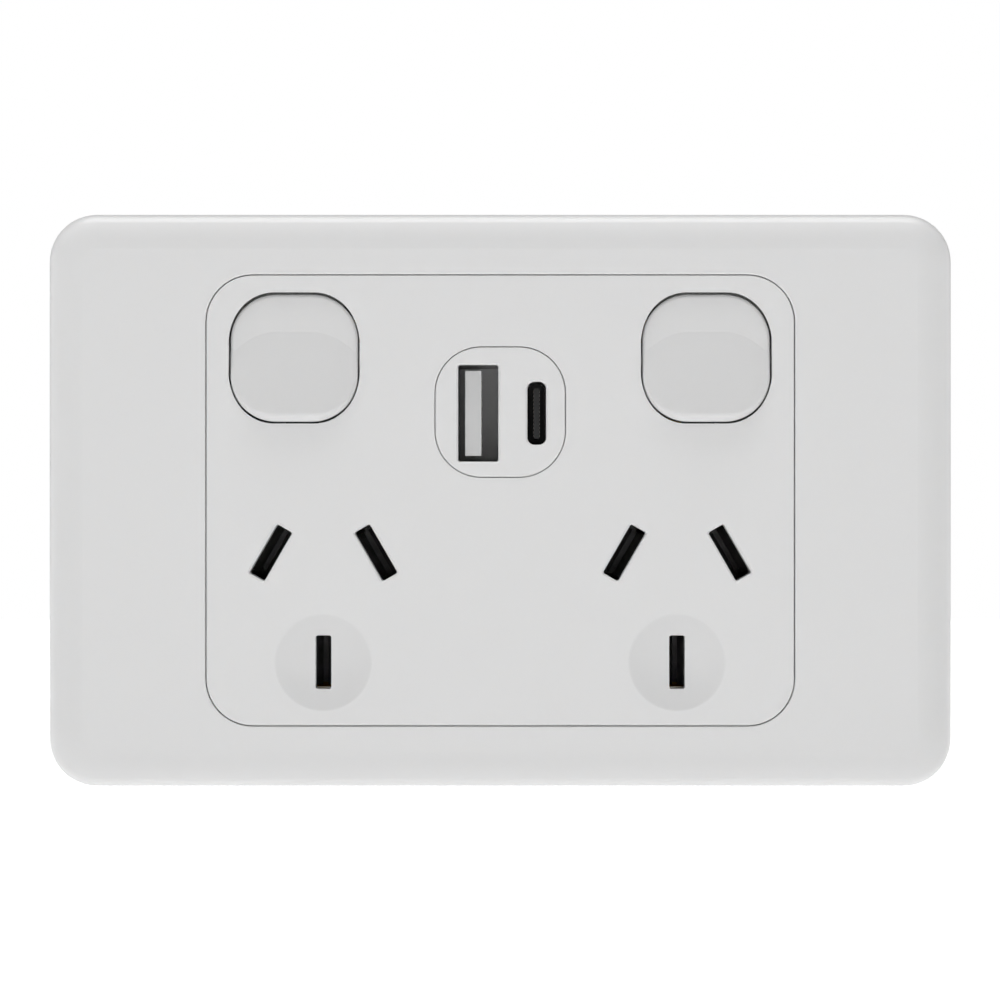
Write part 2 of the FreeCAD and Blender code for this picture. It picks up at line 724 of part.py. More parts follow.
def terminal_places():
    """Each terminal's name and its x, seen from the room."""
    names = ("loop", "neutral", "earth", "active")
    return {name: f"({number} - 1.5) * terminal_spacing" for number, name in enumerate(names)}


def terminal_openings(body, x):
    """The wire's way in from below, and the tube that lets a screwdriver reach the clamp screw."""
    middle = f"{TERMINAL_LOW} + terminal_height / 2"
    tube = sketch_on(body, "front", x=x, y="terminal_back + terminal_gap", z=middle)
    circle(tube, "access_hole + 2 * rib_wall")
    pad(body, tube, f"{HOUSING_FLOOR} - terminal_back - terminal_gap", "wall")
    access = sketch_on(body, "front", x=x, y="terminal_back + terminal_gap", z=middle)
    circle(access, "access_hole")
    pocket(body, access, "housing_depth - terminal_back - terminal_gap", "wall")
    entry = sketch_on(body, "top", x=x, y=BORE_Y, z=f"-{HOUSING_HEIGHT} / 2")
    circle(entry, "wire_hole")
    item = feature(body, "Pocket", entry)
    item.Reversed = True
    bind(item, "Length", "housing_wall + terminal_gap / 2")


def housing_screws():
    """The four screws that draw the housing onto the panel."""
    shank = "head_seat + plate_stand - panel_wall - screw_inset"
    screws = []
    for x, z in column_places():
        seat = Vector(value(x), value("head_seat"), value(z))
        rod = Part.makeCylinder(value("screw_diameter") / 2, value(shank), seat, Vector(0, -1, 0))
        head = Part.makeCylinder(value("screw_head") / 2, value("screw_head_height"), seat, Vector(0, 1, 0))
        screws.append(rod.fuse(head).cut(cross_recess(seat + Vector(0, value("screw_head_height"), 0))))
    new_solid("housing_screws", Part.makeCompound(screws))


def cross_recess(top):
    """The driver recess of a housing screw: two crossed slots."""
    long = value("cross_length")
    narrow = value("cross_width")
    deep = value("cross_depth")
    flat = Part.makeBox(long, deep, narrow, top - Vector(long / 2, deep, narrow / 2))
    upright = Part.makeBox(narrow, deep, long, top - Vector(narrow / 2, deep, long / 2))
    return flat.fuse(upright)


def rocker(name, side):
    """One rocker, pressed in at its top: recessed upper facet, raised paddle, trunnions and barrel."""
    body = new_body(f"rocker_{name}")
    base = sketch_on(body, "front")
    rectangle(base, f"-{ROCKER_HALF}", ROCKER_HALF, f"-{ROCKER_HALF}", ROCKER_HALF)
    pad(body, base, "pivot_depth - recess", "room")
    paddle(body)
    trim_to_aperture(body)
    inside = sketch_on(body, "front")
    rounded_rectangle(inside, f"2 * ({ROCKER_HALF} - rocker_skin)", f"2 * ({ROCKER_HALF} - rocker_skin)",
                      f"({ROCKER_CORNER} - rocker_skin)")
    pocket(body, inside, "pivot_depth - recess - rocker_skin", "room")
    for towards, length in (("wall", "barrel_reach"), ("room", "pivot_depth - recess - rocker_skin / 2")):
        barrel = tilted_circle(body, "barrel_diameter")
        pad(body, barrel, length, towards)
    for towards, length in (("wall", "barrel_reach"), ("room", "barrel_floor")):
        bore = tilted_circle(body, "barrel_bore")
        pocket(body, bore, length, towards)
    for way, towards in ((-1, "left"), (1, "right")):
        trunnion = sketch_on(body, "side", x=f"{way} * ({ROCKER_HALF} - rocker_skin)")
        circle(trunnion, "trunnion_diameter")
        pad(body, trunnion, "rocker_skin + trunnion_length", towards)
    place_at_pivot(body, side)


def paddle(body):
    """The raised half: it leans out from the crease down, and its crowned front falls off to the sides."""
    section = sketch_on(body, "top", y="recess - pivot_depth", z="crease_rise")
    section.AttachmentOffset = Placement(Vector(), Rotation(Vector(-1, 0, 0), value("paddle_tilt")))
    bind(section, "AttachmentOffset.Rotation.Angle", "paddle_tilt")
    side = "(aperture_size / 2)"
    flat = f"({ROCKER_HALF} - {ROCKER_CORNER})"

    def fall(across):
        return f"(crown_radius - sqrt(crown_radius ^ 2 - ({across} - {flat}) ^ 2))"

    halfway = f"(({side} + {flat}) / 2)"
    outline(section, [(f"-{side}", fall(side), (f"-{halfway}", fall(halfway))), (f"-{flat}", "0"),
                      (flat, "0", (halfway, fall(halfway))), (side, fall(side)),
                      (side, "paddle_body"), (f"-{side}", "paddle_body")])
    pad(body, section, "aperture_size", "down")


def trim_to_aperture(body):
    """Cuts the rocker to its outline, rounds it about the pivot and softens its front rim."""
    around = sketch_on(body, "front")
    rounded_rectangle(around, f"2 * {ROCKER_HALF}", f"2 * {ROCKER_HALF}", ROCKER_CORNER)
    rectangle(around, "-aperture_size", "aperture_size", "-aperture_size", "aperture_size")
    pocket(body, around, "aperture_size", "room")
    beyond = sketch_on(body, "top")
    edge = hull_edge(ROCKER_HALF, ROCKER_CORNER)
    outline(beyond, [*edge, ("aperture_size", edge[-1][1]), ("aperture_size", "-aperture_size"),
                     ("-aperture_size", "-aperture_size"), ("-aperture_size", edge[0][1])])
    revolve(body, "Groove", beyond, "H_Axis")
    doc.recompute()
    rim = front_rim(body.Tip.Shape)
    dress(body, "Fillet", "rim_round", lambda edge: any(edge.isSame(other) for other in rim))


def front_rim(shape):
    """The edges round the faces that look into the room, without those between two such faces."""
    edges = []
    for face in shape.Faces:
        low, high, left, right = face.ParameterRange
        if face.normalAt((low + high) / 2, (left + right) / 2).y < -0.9:
            edges += face.Edges
    return [edge for edge in edges if sum(edge.isSame(other) for other in edges) == 1]


def tilted_circle(body, diameter):
    """A circle on the pivot, square to the barrel, which leans half the swing at rest."""
    sketch = sketch_on(body, "front")
    sketch.AttachmentOffset = Placement(Vector(), Rotation(Vector(1, 0, 0), -value("swing / 2")))
    bind(sketch, "AttachmentOffset.Rotation.Angle", "swing / 2")
    bind(sketch, "AttachmentOffset.Rotation.Axis.x", "-1")
    circle(sketch, diameter)
    return sketch


def place_at_pivot(item, side):
    """Moves what is modelled about the pivot to its place in the panel."""
    bind(item, "Placement.Base.x", f"{side} * rocker_spacing / 2")
    bind(item, "Placement.Base.y", PIVOT_Y)
    bind(item, "Placement.Base.z", "rocker_rise")


def plunger(name, side):
    """The spring plunger: round nose, guided head and a stem that enters the spring."""
    body = new_body(f"plunger_{name}")
    half = sketch_on(body, "top")
    nose = "plunger_diameter / 2"
    neck = "(plunger_reach - plunger_head)"
    outline(half, [("0", f"{neck} - stem_length"), ("stem_diameter / 2", f"{neck} - stem_length"),
                   ("stem_diameter / 2", neck), (nose, neck),
                   (nose, f"plunger_reach - {nose}",
                    (f"{nose} * cos(45)", f"plunger_reach - {nose} * (1 - sin(45))")),
                   ("0", "plunger_reach")])
    revolve(body, "Revolution", half, "V_Axis")
    lean(body, side)


def lean(item, side):
    """Places what runs along the barrel: on the pivot, leaning half the swing."""
    item.Placement = Placement(Vector(), Rotation(Vector(-1, 0, 0), value("swing / 2")))
    bind(item, "Placement.Rotation.Angle", "swing / 2")
    place_at_pivot(item, side)


def spring(name, side):
    """The coil between the barrel's floor and the plunger's head."""
    wire = value("spring_wire") / 2
    floor = -value("barrel_floor") + wire + value("ridge_fit")
    length = value("plunger_reach - plunger_head") - wire - value("ridge_fit") - floor
    coil = Part.makeHelix(length / value("spring_turns"), length, value("spring_diameter") / 2)
    coil.translate(Vector(0, 0, floor))
    section = Part.Wire(Part.makeCircle(wire, Vector(value("spring_diameter") / 2, 0, floor), Vector(0, 1, 0)))
    item = new_solid(f"spring_{name}", Part.Wire(coil).makePipeShell([section], True, True))
    lean(item, side)
    bind(item, "Placement.Rotation.Angle", "90 + swing / 2")


def moving_contact(name, side):
    """The see-saw: a brass tongue on a ridge, tipped clear of the fixed contact at rest."""
    body = new_body(f"moving_contact_{name}")
    profile = sketch_on(body, "side", x="-seesaw_width / 2")
    back = "(seesaw_thickness - seesaw_front)"
    ridge = "ridge_radius"
    outline(profile, [("-seesaw_front", "-seesaw_low"), ("-seesaw_front", "seesaw_high"),
                      (back, "seesaw_high"), (back, ridge), ("0", ridge, (ridge, "0")), ("0", f"-{ridge}"),
                      (back, f"-{ridge}"), (back, "-seesaw_low")])
    pad(body, profile, "seesaw_width", "right")
    place_seesaw(body, side)


def place_seesaw(item, side):
    """On the see-saw's own pivot, its lower end leaning back."""
    item.Placement = Placement(Vector(), Rotation(Vector(1, 0, 0), value("seesaw_tilt")))
    bind(item, "Placement.Rotation.Angle", "seesaw_tilt")
    bind(item, "Placement.Base.x", f"{side} * rocker_spacing / 2")
    bind(item, "Placement.Base.y", SEESAW_Y)
    bind(item, "Placement.Base.z", "rocker_rise")


def moving_tip(name, side):
    """The silver rivet at the see-saw's upper end."""
    tip = doc.addObject("Part::Cylinder", f"moving_tip_{name}")
    tip.Label = f"moving_tip_{name}"
    parts.append(tip)
    bind(tip, "Radius", "tip_diameter / 2")
    bind(tip, "Height", "tip_thickness")
    tilt = value("seesaw_tilt")
    tip.Placement = Placement(Vector(), Rotation(Vector(1, 0, 0), tilt - 90))
    bind(tip, "Placement.Rotation.Angle", "90 - seesaw_tilt")
    bind(tip, "Placement.Rotation.Axis.x", "-1")
    back = "(seesaw_thickness - seesaw_front)"
    bind(tip, "Placement.Base.x", f"{side} * rocker_spacing / 2")
    bind(tip, "Placement.Base.y", f"{SEESAW_Y} + {back} * cos(seesaw_tilt) - tip_height * sin(seesaw_tilt)")
    bind(tip, "Placement.Base.z", f"rocker_rise + tip_height * cos(seesaw_tilt) + {back} * sin(seesaw_tilt)")


def fixed_tip_front():
    """The depth of the fixed contact's face: just behind the see-saw's tip when that is tipped back."""
    reach = "(seesaw_thickness - seesaw_front + tip_thickness)"
    return (f"({SEESAW_Y} + {reach} * cos(seesaw_tilt)"
            f" + (tip_height + tip_diameter / 2) * sin(seesaw_tilt) + contact_gap)")


def fixed_tip(name, side):
    """The silver rivet on the bus."""
    start = (f"{side} * rocker_spacing / 2", fixed_tip_front(), "rocker_rise + tip_height")
    new_solid(f"fixed_tip_{name}", rod_shape("tip_diameter", "tip_thickness", start, Vector(0, 1, 0)))


def pin_clip(x, z, tilt):
    """A folded clip: two sprung leaves with a flared mouth, joined by a flat back on the strip."""
    mouth_y = value(f"{PANEL_BACK} + guide_depth + clip_clearance")
    back_y = value("strip_plane - clip_thickness")
    leaf = [(value("mouth_half"), mouth_y), (value("throat_half"), mouth_y + value("throat_depth")),
            (value("back_half"), mouth_y + 2 * value("throat_depth")), (value("back_half"), back_y)]
    path = [Vector(across, depth, 0) for across, depth in leaf]
    path += [Vector(-across, depth, 0) for across, depth in reversed(leaf)]
    section = Part.makePolygon(path).makeOffset2D(value("clip_thickness"), 2, True, True)
    clip = section.extrude(Vector(0, 0, value("clip_length")))
    clip.translate(Vector(0, 0, -value("clip_length") / 2))
    clip.rotate(Vector(), Vector(0, 1, 0), value(tilt))
    clip.translate(Vector(value(x), 0, value(z)))
    return clip


def strip(points):
    return plate_shape(points, "strip_plane", "strip_thickness")


def bar(left, right, low, high):
    """A straight piece of strip."""
    return strip([(left, low), (right, low), (right, high), (left, high)])


def saddle(x):
    """The grooved seat in which the see-saw's ridge turns."""
    front = f"({SEESAW_Y} + ridge_fit)"
    seat = box_shape((f"{x} - saddle_width / 2", front, "rocker_rise - saddle_height / 2"),
                     (f"{x} + saddle_width / 2", "strip_plane", "rocker_rise + saddle_height / 2"))
    groove = rod_shape("2 * (ridge_radius + ridge_fit)", "saddle_width",
                       (f"{x} - saddle_width / 2", SEESAW_Y, "rocker_rise"), Vector(1, 0, 0))
    return seat.cut(groove)


def active_contact(name, side):
    """The switched strip: from the see-saw's saddle down to the active pin's clip."""
    pivot_x = f"({side} * rocker_spacing / 2)"
    x, z, tilt, *_ = slot_places(side)[0]
    half = "strip_width / 2"
    top = "rocker_rise + saddle_height / 2"
    low = f"({PIN_Z} - clip_length / 2)"
    elbow = f"({PIN_Z} + clip_length / 2 + strip_width / 4)"
    left = f"min({x}; {pivot_x}) - {half}"
    right = f"max({x}; {pivot_x}) + {half}"
    pieces = [bar(f"{pivot_x} - {half}", f"{pivot_x} + {half}", elbow, top),
              bar(left, right, elbow, f"{elbow} + strip_width"),
              bar(f"{x} - {half}", f"{x} + {half}", low, f"{elbow} + strip_width"),
              saddle(pivot_x), pin_clip(x, z, tilt)]
    new_solid(f"active_contact_{name}", joined(pieces))


def joined(pieces):
    """One solid out of pieces that meet."""
    return pieces[0].multiFuse(pieces[1:]).removeSplitter()


def neutral_strip():
    """One bar under both sockets, up to the neutral clips and down to the neutral terminal."""
    half = "strip_width / 2"
    low = "(neutral_bar_top - neutral_bar_height)"
    places = [slot_places(side)[1] for side in SIDES.values()]
    pieces = [bar(f"{places[0][0]} - {half}", f"{places[1][0]} + {half}", low, "neutral_bar_top")]
    for x, z, tilt, *_ in places:
        pieces += [bar(f"{x} - {half}", f"{x} + {half}", low, f"{PIN_Z} + clip_length / 2"), pin_clip(x, z, tilt)]
    x = terminal_places()["neutral"]
    pieces.append(bar(f"{x} - {half}", f"{x} + {half}", "earth_bar_top + strip_thickness", "neutral_bar_top"))
    new_solid("neutral_strip", joined(pieces))


def earth_strip():
    """One bar behind both earth clips and the earth terminal."""
    half = "strip_width / 2"
    places = [slot_places(side)[2] for side in SIDES.values()]
    pieces = [bar(f"{places[0][0]} - {half}", f"{places[1][0]} + {half}", "earth_bar_top - strip_width",
                  "earth_bar_top")]
    for x, z, tilt, *_ in places:
        pieces += [bar(f"{x} - {half}", f"{x} + {half}", "earth_bar_top - strip_width", f"{z} + clip_length / 2"),
                   pin_clip(x, z, tilt)]
    new_solid("earth_strip", joined(pieces))


def active_bus():
    """From the active terminal up and across to the two fixed contacts."""
    half = "strip_width / 2"
    top = "(bus_bar_bottom + bus_bar_height)"
    riser = terminal_places()["active"]

    def flat(left, right, low, high):
        return plate_shape([(left, low), (right, low), (right, high), (left, high)], "bus_plane", "strip_thickness")

    pieces = [flat(f"{riser} - {half}", f"{riser} + {half}", TERMINAL_TOP, top),
              flat(f"-rocker_spacing / 2 - {half}", f"rocker_spacing / 2 + {half}", "bus_bar_bottom", top)]
    seat = f"({fixed_tip_front()} + tip_thickness)"
    middle = "(rocker_rise + tip_height)"
    for side in SIDES.values():
        x = f"{side} * rocker_spacing / 2"
        pieces.append(box_shape((f"{x} - tip_diameter / 2", seat, f"{middle} - strip_thickness"),
                                (f"{x} + tip_diameter / 2", "bus_plane", f"{middle} + strip_thickness")))
        pieces.append(box_shape((f"{x} - {half}", seat, f"{middle} - tip_diameter / 2"),
                                (f"{x} + {half}", f"{seat} + strip_thickness", f"{middle} + tip_diameter / 2")))
    new_solid("active_bus", joined(pieces))


def terminal(name, x):
    """A brass block with its wire bore and the clamp screw's hole; two stand against their strips."""
    front = STRIP_BACK if name in ("neutral", "earth") else "terminal_front"
    block = box_shape((f"{x} - terminal_width / 2", front, TERMINAL_LOW),
                      (f"{x} + terminal_width / 2", "terminal_back", TERMINAL_TOP))
    block = block.makeChamfer(value("terminal_bevel"), block.Edges)
    bore = rod_shape("terminal_bore", "terminal_height", (x, BORE_Y, TERMINAL_LOW), Vector(0, 0, 1))
    clamp = rod_shape("clamp_diameter + 2 * screw_fit", f"terminal_back - {BORE_Y}",
                      (x, BORE_Y, f"{TERMINAL_LOW} + terminal_height / 2"), Vector(0, 1, 0))
    new_solid(f"terminal_{name}", block.cut(bore).cut(clamp))


def terminal_screws():
    """The clamp screws, backed off until the wire bores are clear."""
    screws = []
    for x in terminal_places().values():
        middle = f"{TERMINAL_LOW} + terminal_height / 2"
        tip = f"{BORE_Y} + terminal_bore / 2 + clamp_inset"
        rod = rod_shape("clamp_diameter", f"terminal_back - ({tip})", (x, tip, middle), Vector(0, 1, 0))
        head = rod_shape("clamp_head", "clamp_head_height", (x, "terminal_back", middle), Vector(0, 1, 0))
        slot = box_shape((f"{x} - clamp_head / 2", "terminal_back + clamp_head_height - clamp_slot_depth",
                          f"{middle} - clamp_slot / 2"),
                         (f"{x} + clamp_head / 2", "terminal_back + clamp_head_height",
                          f"{middle} + clamp_slot / 2"))
        screws.append(rod.fuse(head).cut(slot).removeSplitter())
    new_solid("terminal_screws", Part.makeCompound(screws))


def usb_insert():
    """The charger's face: flush square with two openings, and a flange behind the panel."""
    body = new_body("usb_insert")
    face = sketch_on(body, "front", y=FACE, z="usb_rise")
    rounded_rectangle(face, "usb_size", "usb_size", "usb_corner")
    pad(body, face, "usb_depth", "wall")
    front = value(FACE)
    dress(body, "Fillet", "hairline_round", lambda edge: lies_at_depth(edge, front))
    flange = sketch_on(body, "front", y=f"{PANEL_BACK} + keeper_gap", z="usb_rise")
    rounded_rectangle(flange, "(usb_size + 2 * usb_flange)", "(usb_size + 2 * usb_flange)",
                      "(usb_corner + usb_flange)")
    pad(body, flange, "usb_flange", "wall")
    for port, corner in PORT_CORNERS.items():
        room = "2 * (shell_wall + shell_fit)"
        opening = sketch_on(body, "front", x=f"port_{port}_offset", y=FACE, z=PORT_Z)
        rounded_rectangle(opening, f"port_{port}_width", f"port_{port}_height", corner)
        pocket(body, opening, "usb_depth", "wall")
        seat = sketch_on(body, "front", x=f"port_{port}_offset", y=f"{FACE} + usb_face - shell_fit", z=PORT_Z)
        rounded_rectangle(seat, f"port_{port}_width + {room}", f"port_{port}_height + {room}",
                          f"({corner} + shell_wall + shell_fit)")
        pocket(body, seat, "usb_depth", "wall")
    spots = [value(f"port_{port}_offset") for port in "ac"]
    halves = [value(f"port_{port}_height") / 2 + 0.1 for port in "ac"]
    widths = [value(f"port_{port}_width") / 2 + 0.1 for port in "ac"]
    dress(body, "Chamfer", "port_bevel",
          lambda edge: lies_at_depth(edge, front)
          and any(abs(edge.CenterOfMass.x - spot) < width and abs(edge.CenterOfMass.z - value(PORT_Z)) < half
                  for spot, half, width in zip(spots, halves, widths)))


def port_shell(port):
    """A receptacle's steel shell: a seamed tube, closed behind, with a tab to the board."""
    body = new_body(f"usb_{port}_shell")
    start = f"{FACE} + usb_face"
    corner = PORT_CORNERS[port]
    outer = sketch_on(body, "front", x=f"port_{port}_offset", y=start, z=PORT_Z)
    rounded_rectangle(outer, f"port_{port}_width + 2 * shell_wall", f"port_{port}_height + 2 * shell_wall",
                      f"({corner} + shell_wall)")
    pad(body, outer, f"port_{port}_length", "wall")
    inner = sketch_on(body, "front", x=f"port_{port}_offset", y=start, z=PORT_Z)
    rounded_rectangle(inner, f"port_{port}_width", f"port_{port}_height", corner)
    pocket(body, inner, f"port_{port}_length - shell_wall", "wall")
    edge = BOARD_LEFT if port == "a" else BOARD_RIGHT
    way = 1 if port == "a" else -1
    wall = f"port_{port}_offset + {way} * (port_{port}_width / 2 + shell_wall / 2)"
    for up in (-1, 1):
        tab = sketch_on(body, "side", x=wall, y=f"{start} + port_{port}_length - 2 * tab_diameter",
                        z=f"{PORT_Z} + {up} * port_{port}_height / 4")
        circle(tab, "tab_diameter")
        pad(body, tab, f"abs({edge} - ({wall}))", "right" if way > 0 else "left")


def port_tongue(port, offset):
    """The moulded tongue that carries a receptacle's contacts, on a block at the shell's back."""
    body = new_body(f"usb_{port}_tongue")
    start = f"{FACE} + tongue_setback"
    x = f"port_{port}_offset + {offset}"
    back = f"({FACE} + usb_face + port_{port}_length - shell_wall)"
    tongue = sketch_on(body, "front", x=x, y=start, z=PORT_Z)
    rounded_rectangle(tongue, f"tongue_{port}_width", f"tongue_{port}_height", "tongue_corner")
    pad(body, tongue, f"{back} - ({start}) - tongue_root / 2", "wall")
    block = sketch_on(body, "front", x=f"port_{port}_offset", y=f"{back} - tongue_root", z=PORT_Z)
    rounded_rectangle(block, f"port_{port}_width - 2 * shell_fit", f"port_{port}_height - 2 * shell_fit",
                      f"({PORT_CORNERS[port]} - shell_fit)")
    pad(body, block, "tongue_root - shell_fit", "wall")


def port_contacts(port, offset, count, sides):
    """The flat gold contacts let into a tongue's faces."""
    pitch = f"tongue_{port}_height / {count + 0.5}"
    start = f"{FACE} + tongue_setback + pad_setback"
    length = f"port_{port}_length / 2"
    pads = []
    for side in sides:
        inner = f"port_{port}_offset + {offset} + {side} * tongue_{port}_width / 2"
        outer = f"{inner} + {side} * pad_height"
        for number in range(count):
            z = f"{PORT_Z} + ({number} - {(count - 1) / 2}) * {pitch}"
            low = (min(inner, outer, key=value), start, f"{z} - {pitch} / 4")
            high = (max(inner, outer, key=value), f"{start} + {length}", f"{z} + {pitch} / 4")
            pads.append(box_shape(low, high))
    new_solid(f"usb_{port}_contacts", Part.makeCompound(pads))


def charger_board():
    """The upright circuit board, its lower front corner cut away."""
    body = new_body("charger_board")
    board = sketch_on(body, "side", x=BOARD_LEFT)
    outline(board, [("0", "board_low"), ("board_back", "board_low"), ("board_back", "board_high"),
                    ("-board_front", "board_high"), ("-board_front", "board_low + board_front"),
                    ("0", "board_low + board_front")])
    pad(body, board, "board_thickness", "right")


def transformer():
    """The ferrite core, two E halves round a wound middle leg, and its winding."""
    body = new_body("transformer_core")
    left = f"({BOARD_LEFT} - core_width)"
    frame = sketch_on(body, "side", x=left, y="core_front", z="core_low")
    rectangle(frame, "0", "core_depth", "0", "core_height")
    pad(body, frame, "core_width", "right")
    for up in (-1, 1):
        window = sketch_on(body, "side", x=left, y="core_front", z="core_low + core_height / 2")
        rectangle(window, "core_leg", "core_depth - core_leg",
                  *sorted((f"{up} * core_leg / 2", f"{up} * (core_height / 2 - core_leg / 2)"), key=value))
        pocket(body, window, "core_width", "right")
    inset = "(core_leg + winding_gap)"
    outer = box_shape((f"{left} - core_leg / 2", f"core_front + {inset}", f"core_low + core_leg / 2 + winding_gap"),
                      (BOARD_LEFT, f"core_front + core_depth - {inset}",
                       f"core_low + core_height - core_leg / 2 - winding_gap"))
    leg = box_shape((f"{left} - winding_gap", "core_front",
                     "core_low + core_height / 2 - core_leg / 2 - winding_gap"),
                    (f"{BOARD_LEFT}", "core_front + core_depth",
                     "core_low + core_height / 2 + core_leg / 2 + winding_gap"))
    rounded = outer.makeFillet(value("winding_round"), [edge for edge in outer.Edges if edge.BoundBox.YLength > 1])
    new_solid("transformer_winding", rounded.cut(leg))


def can(label, diameter, length, front, z):
    """A wound capacitor lying along the board, with the bead round its mouth."""
    body = new_body(label)
    half = sketch_on(body, "top", x=f"{BOARD_RIGHT} + {diameter} / 2", y=front, z=z)
    wall = f"{diameter} / 2"
    bead = "can_bead"
    groove = f"({length} - can_mouth)"
    outline(half, [("0", "0"), (f"{wall} - {bead}", "0"), (wall, bead), (wall, f"{groove} - {bead}"),
                   (f"{wall} - {bead}", groove), (wall, f"{groove} + {bead}"),
                   (wall, f"{length} - {bead}"), (f"{wall} - {bead}", length), ("0", length)])
    revolve(body, "Revolution", half, "V_Axis")


def check_model():
    """Stops unless every object and every sub-part's shape is sound and each feature did its work."""
    doc.recompute()
    for item in doc.Objects:
        bad = [state for state in item.State if state in ("Invalid", "Error")]
        if bad:
            raise RuntimeError(f"{item.Label} is {bad}")
    for item in parts:
        if item.Shape.isNull() or not item.Shape.isValid():
            raise RuntimeError(f"{item.Label} has no sound shape")
        if item.isDerivedFrom("PartDesign::Body"):
            check_volumes(item)


def check_volumes(body):
    """Each pad adds material, and each pocket, groove, fillet or chamfer takes some away."""
    before = 0.0
    for item in body.Group:
        if not item.isDerivedFrom("PartDesign::Feature") or item.Shape.isNull():
            continue
        added = item.Shape.Volume - before
        adds = any(item.isDerivedFrom(f"PartDesign::{kind}") for kind in ("Pad", "Revolution"))
        if abs(added) < 1e-6 or (adds and added < 0):
            raise RuntimeError(f"{item.Name} changes the volume by {added:.4f}")
        if not adds and added > 0 and not item.isDerivedFrom("PartDesign::Fillet"):
            raise RuntimeError(f"{item.Name} should take material away, and adds {added:.4f}")
        before = item.Shape.Volume


def main():
    cover_plate()
    grid_plate()
    rear_housing()
    housing_screws()
    for name, side in SIDES.items():
        rocker(name, side)
        plunger(name, side)
        spring(name, side)
        moving_contact(name, side)
        moving_tip(name, side)
        fixed_tip(name, side)
        active_contact(name, side)
    neutral_strip()
    earth_strip()
    active_bus()
    for name, x in terminal_places().items():
        terminal(name, x)
    terminal_screws()
    usb_insert()
    for port in PORT_CORNERS:
        port_shell(port)
    port_tongue("a", "tongue_a_offset")
    port_tongue("c", "0")
    port_contacts("a", "tongue_a_offset", 4, (1,))
    port_contacts("c", "0", 12, (-1, 1))
    charger_board()
    transformer()
    can("input_capacitor", "input_can_diameter", "input_can_length", "core_front", "core_low + core_leg")
    can("output_capacitor", "output_can_diameter", "output_can_length", "core_front", "usb_rise")
    check_model()
    os.makedirs("parts", exist_ok=True)
    for item in parts:
        item.Shape.exportStep(f"parts/{item.Label}.step")
        print(f"{item.Label}: {item.Shape.Volume:.1f} mm3, {len(item.Shape.Solids)} solid(s)")


main()
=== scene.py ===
"""Dresses a double switched wall socket with a USB insert and sets up its studio.

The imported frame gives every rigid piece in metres, X to the right, Y into the wall and Z up.
"""

import json
import logging
import math
from dataclasses import dataclass, field
from enum import Enum
from typing import Any

import bpy
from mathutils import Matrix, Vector


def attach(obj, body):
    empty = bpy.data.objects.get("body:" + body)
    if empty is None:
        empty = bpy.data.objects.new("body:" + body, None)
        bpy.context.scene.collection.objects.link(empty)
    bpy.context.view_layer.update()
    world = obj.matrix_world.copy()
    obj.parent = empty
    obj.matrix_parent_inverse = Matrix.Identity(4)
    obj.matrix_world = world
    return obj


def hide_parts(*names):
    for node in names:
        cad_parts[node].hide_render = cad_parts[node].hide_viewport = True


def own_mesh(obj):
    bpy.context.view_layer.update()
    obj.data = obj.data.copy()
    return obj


LOG = logging.getLogger("wall_socket")
MM = 0.001
PURE_WHITE = "#ffffff"

# Octaves of the noise behind the relief, the slow change in gloss and the patches of tone
GRAIN_DETAIL = 2.0
DRIFT_DETAIL = 1.0
PATCH_DETAIL = 3.0

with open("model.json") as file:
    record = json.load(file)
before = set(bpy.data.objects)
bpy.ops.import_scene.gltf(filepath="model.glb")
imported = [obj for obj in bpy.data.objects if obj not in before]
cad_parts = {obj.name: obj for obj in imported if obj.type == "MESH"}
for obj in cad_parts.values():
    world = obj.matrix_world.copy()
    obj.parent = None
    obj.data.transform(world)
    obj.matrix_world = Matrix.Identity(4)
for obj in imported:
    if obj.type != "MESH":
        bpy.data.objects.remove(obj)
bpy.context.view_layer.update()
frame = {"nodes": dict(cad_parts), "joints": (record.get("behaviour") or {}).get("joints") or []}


class Side(Enum):
    """The two switched sockets, seen from the room."""

    LEFT = "left"
    RIGHT = "right"


def linear(colour: str) -> tuple[float, float, float, float]:
    """Turn an sRGB hex colour into linear light.

    Args:
        colour: Six hex digits after a hash sign.

    Returns:
        Red, green, blue and an alpha of one.
    """
    levels = [int(colour[start:start + 2], 16) / 255 for start in (1, 3, 5)]
    curve = [level / 12.92 if level <= 0.04045 else ((level + 0.055) / 1.055) ** 2.4 for level in levels]
    return curve[0], curve[1], curve[2], 1.0


def add_node(tree: bpy.types.NodeTree, kind: str, settings: dict[str, Any] | None = None,
             links: dict[str | int, bpy.types.NodeSocket] | None = None) -> bpy.types.Node:
    """Add one shader node.

    Args:
        tree: The material's or world's node tree.
        kind: The node's type, without the ShaderNode prefix.
        settings: Values by socket or property name.
        links: Source sockets by the name or number of the input.

    Returns:
        The new node.
    """
    node = tree.nodes.new(f"ShaderNode{kind}")
    for name, value in (settings or {}).items():
        if name in node.inputs:
            node.inputs[name].default_value = value
        else:
            setattr(node, name, value)
    for name, source in (links or {}).items():
        tree.links.new(source, node.inputs[name])
    return node


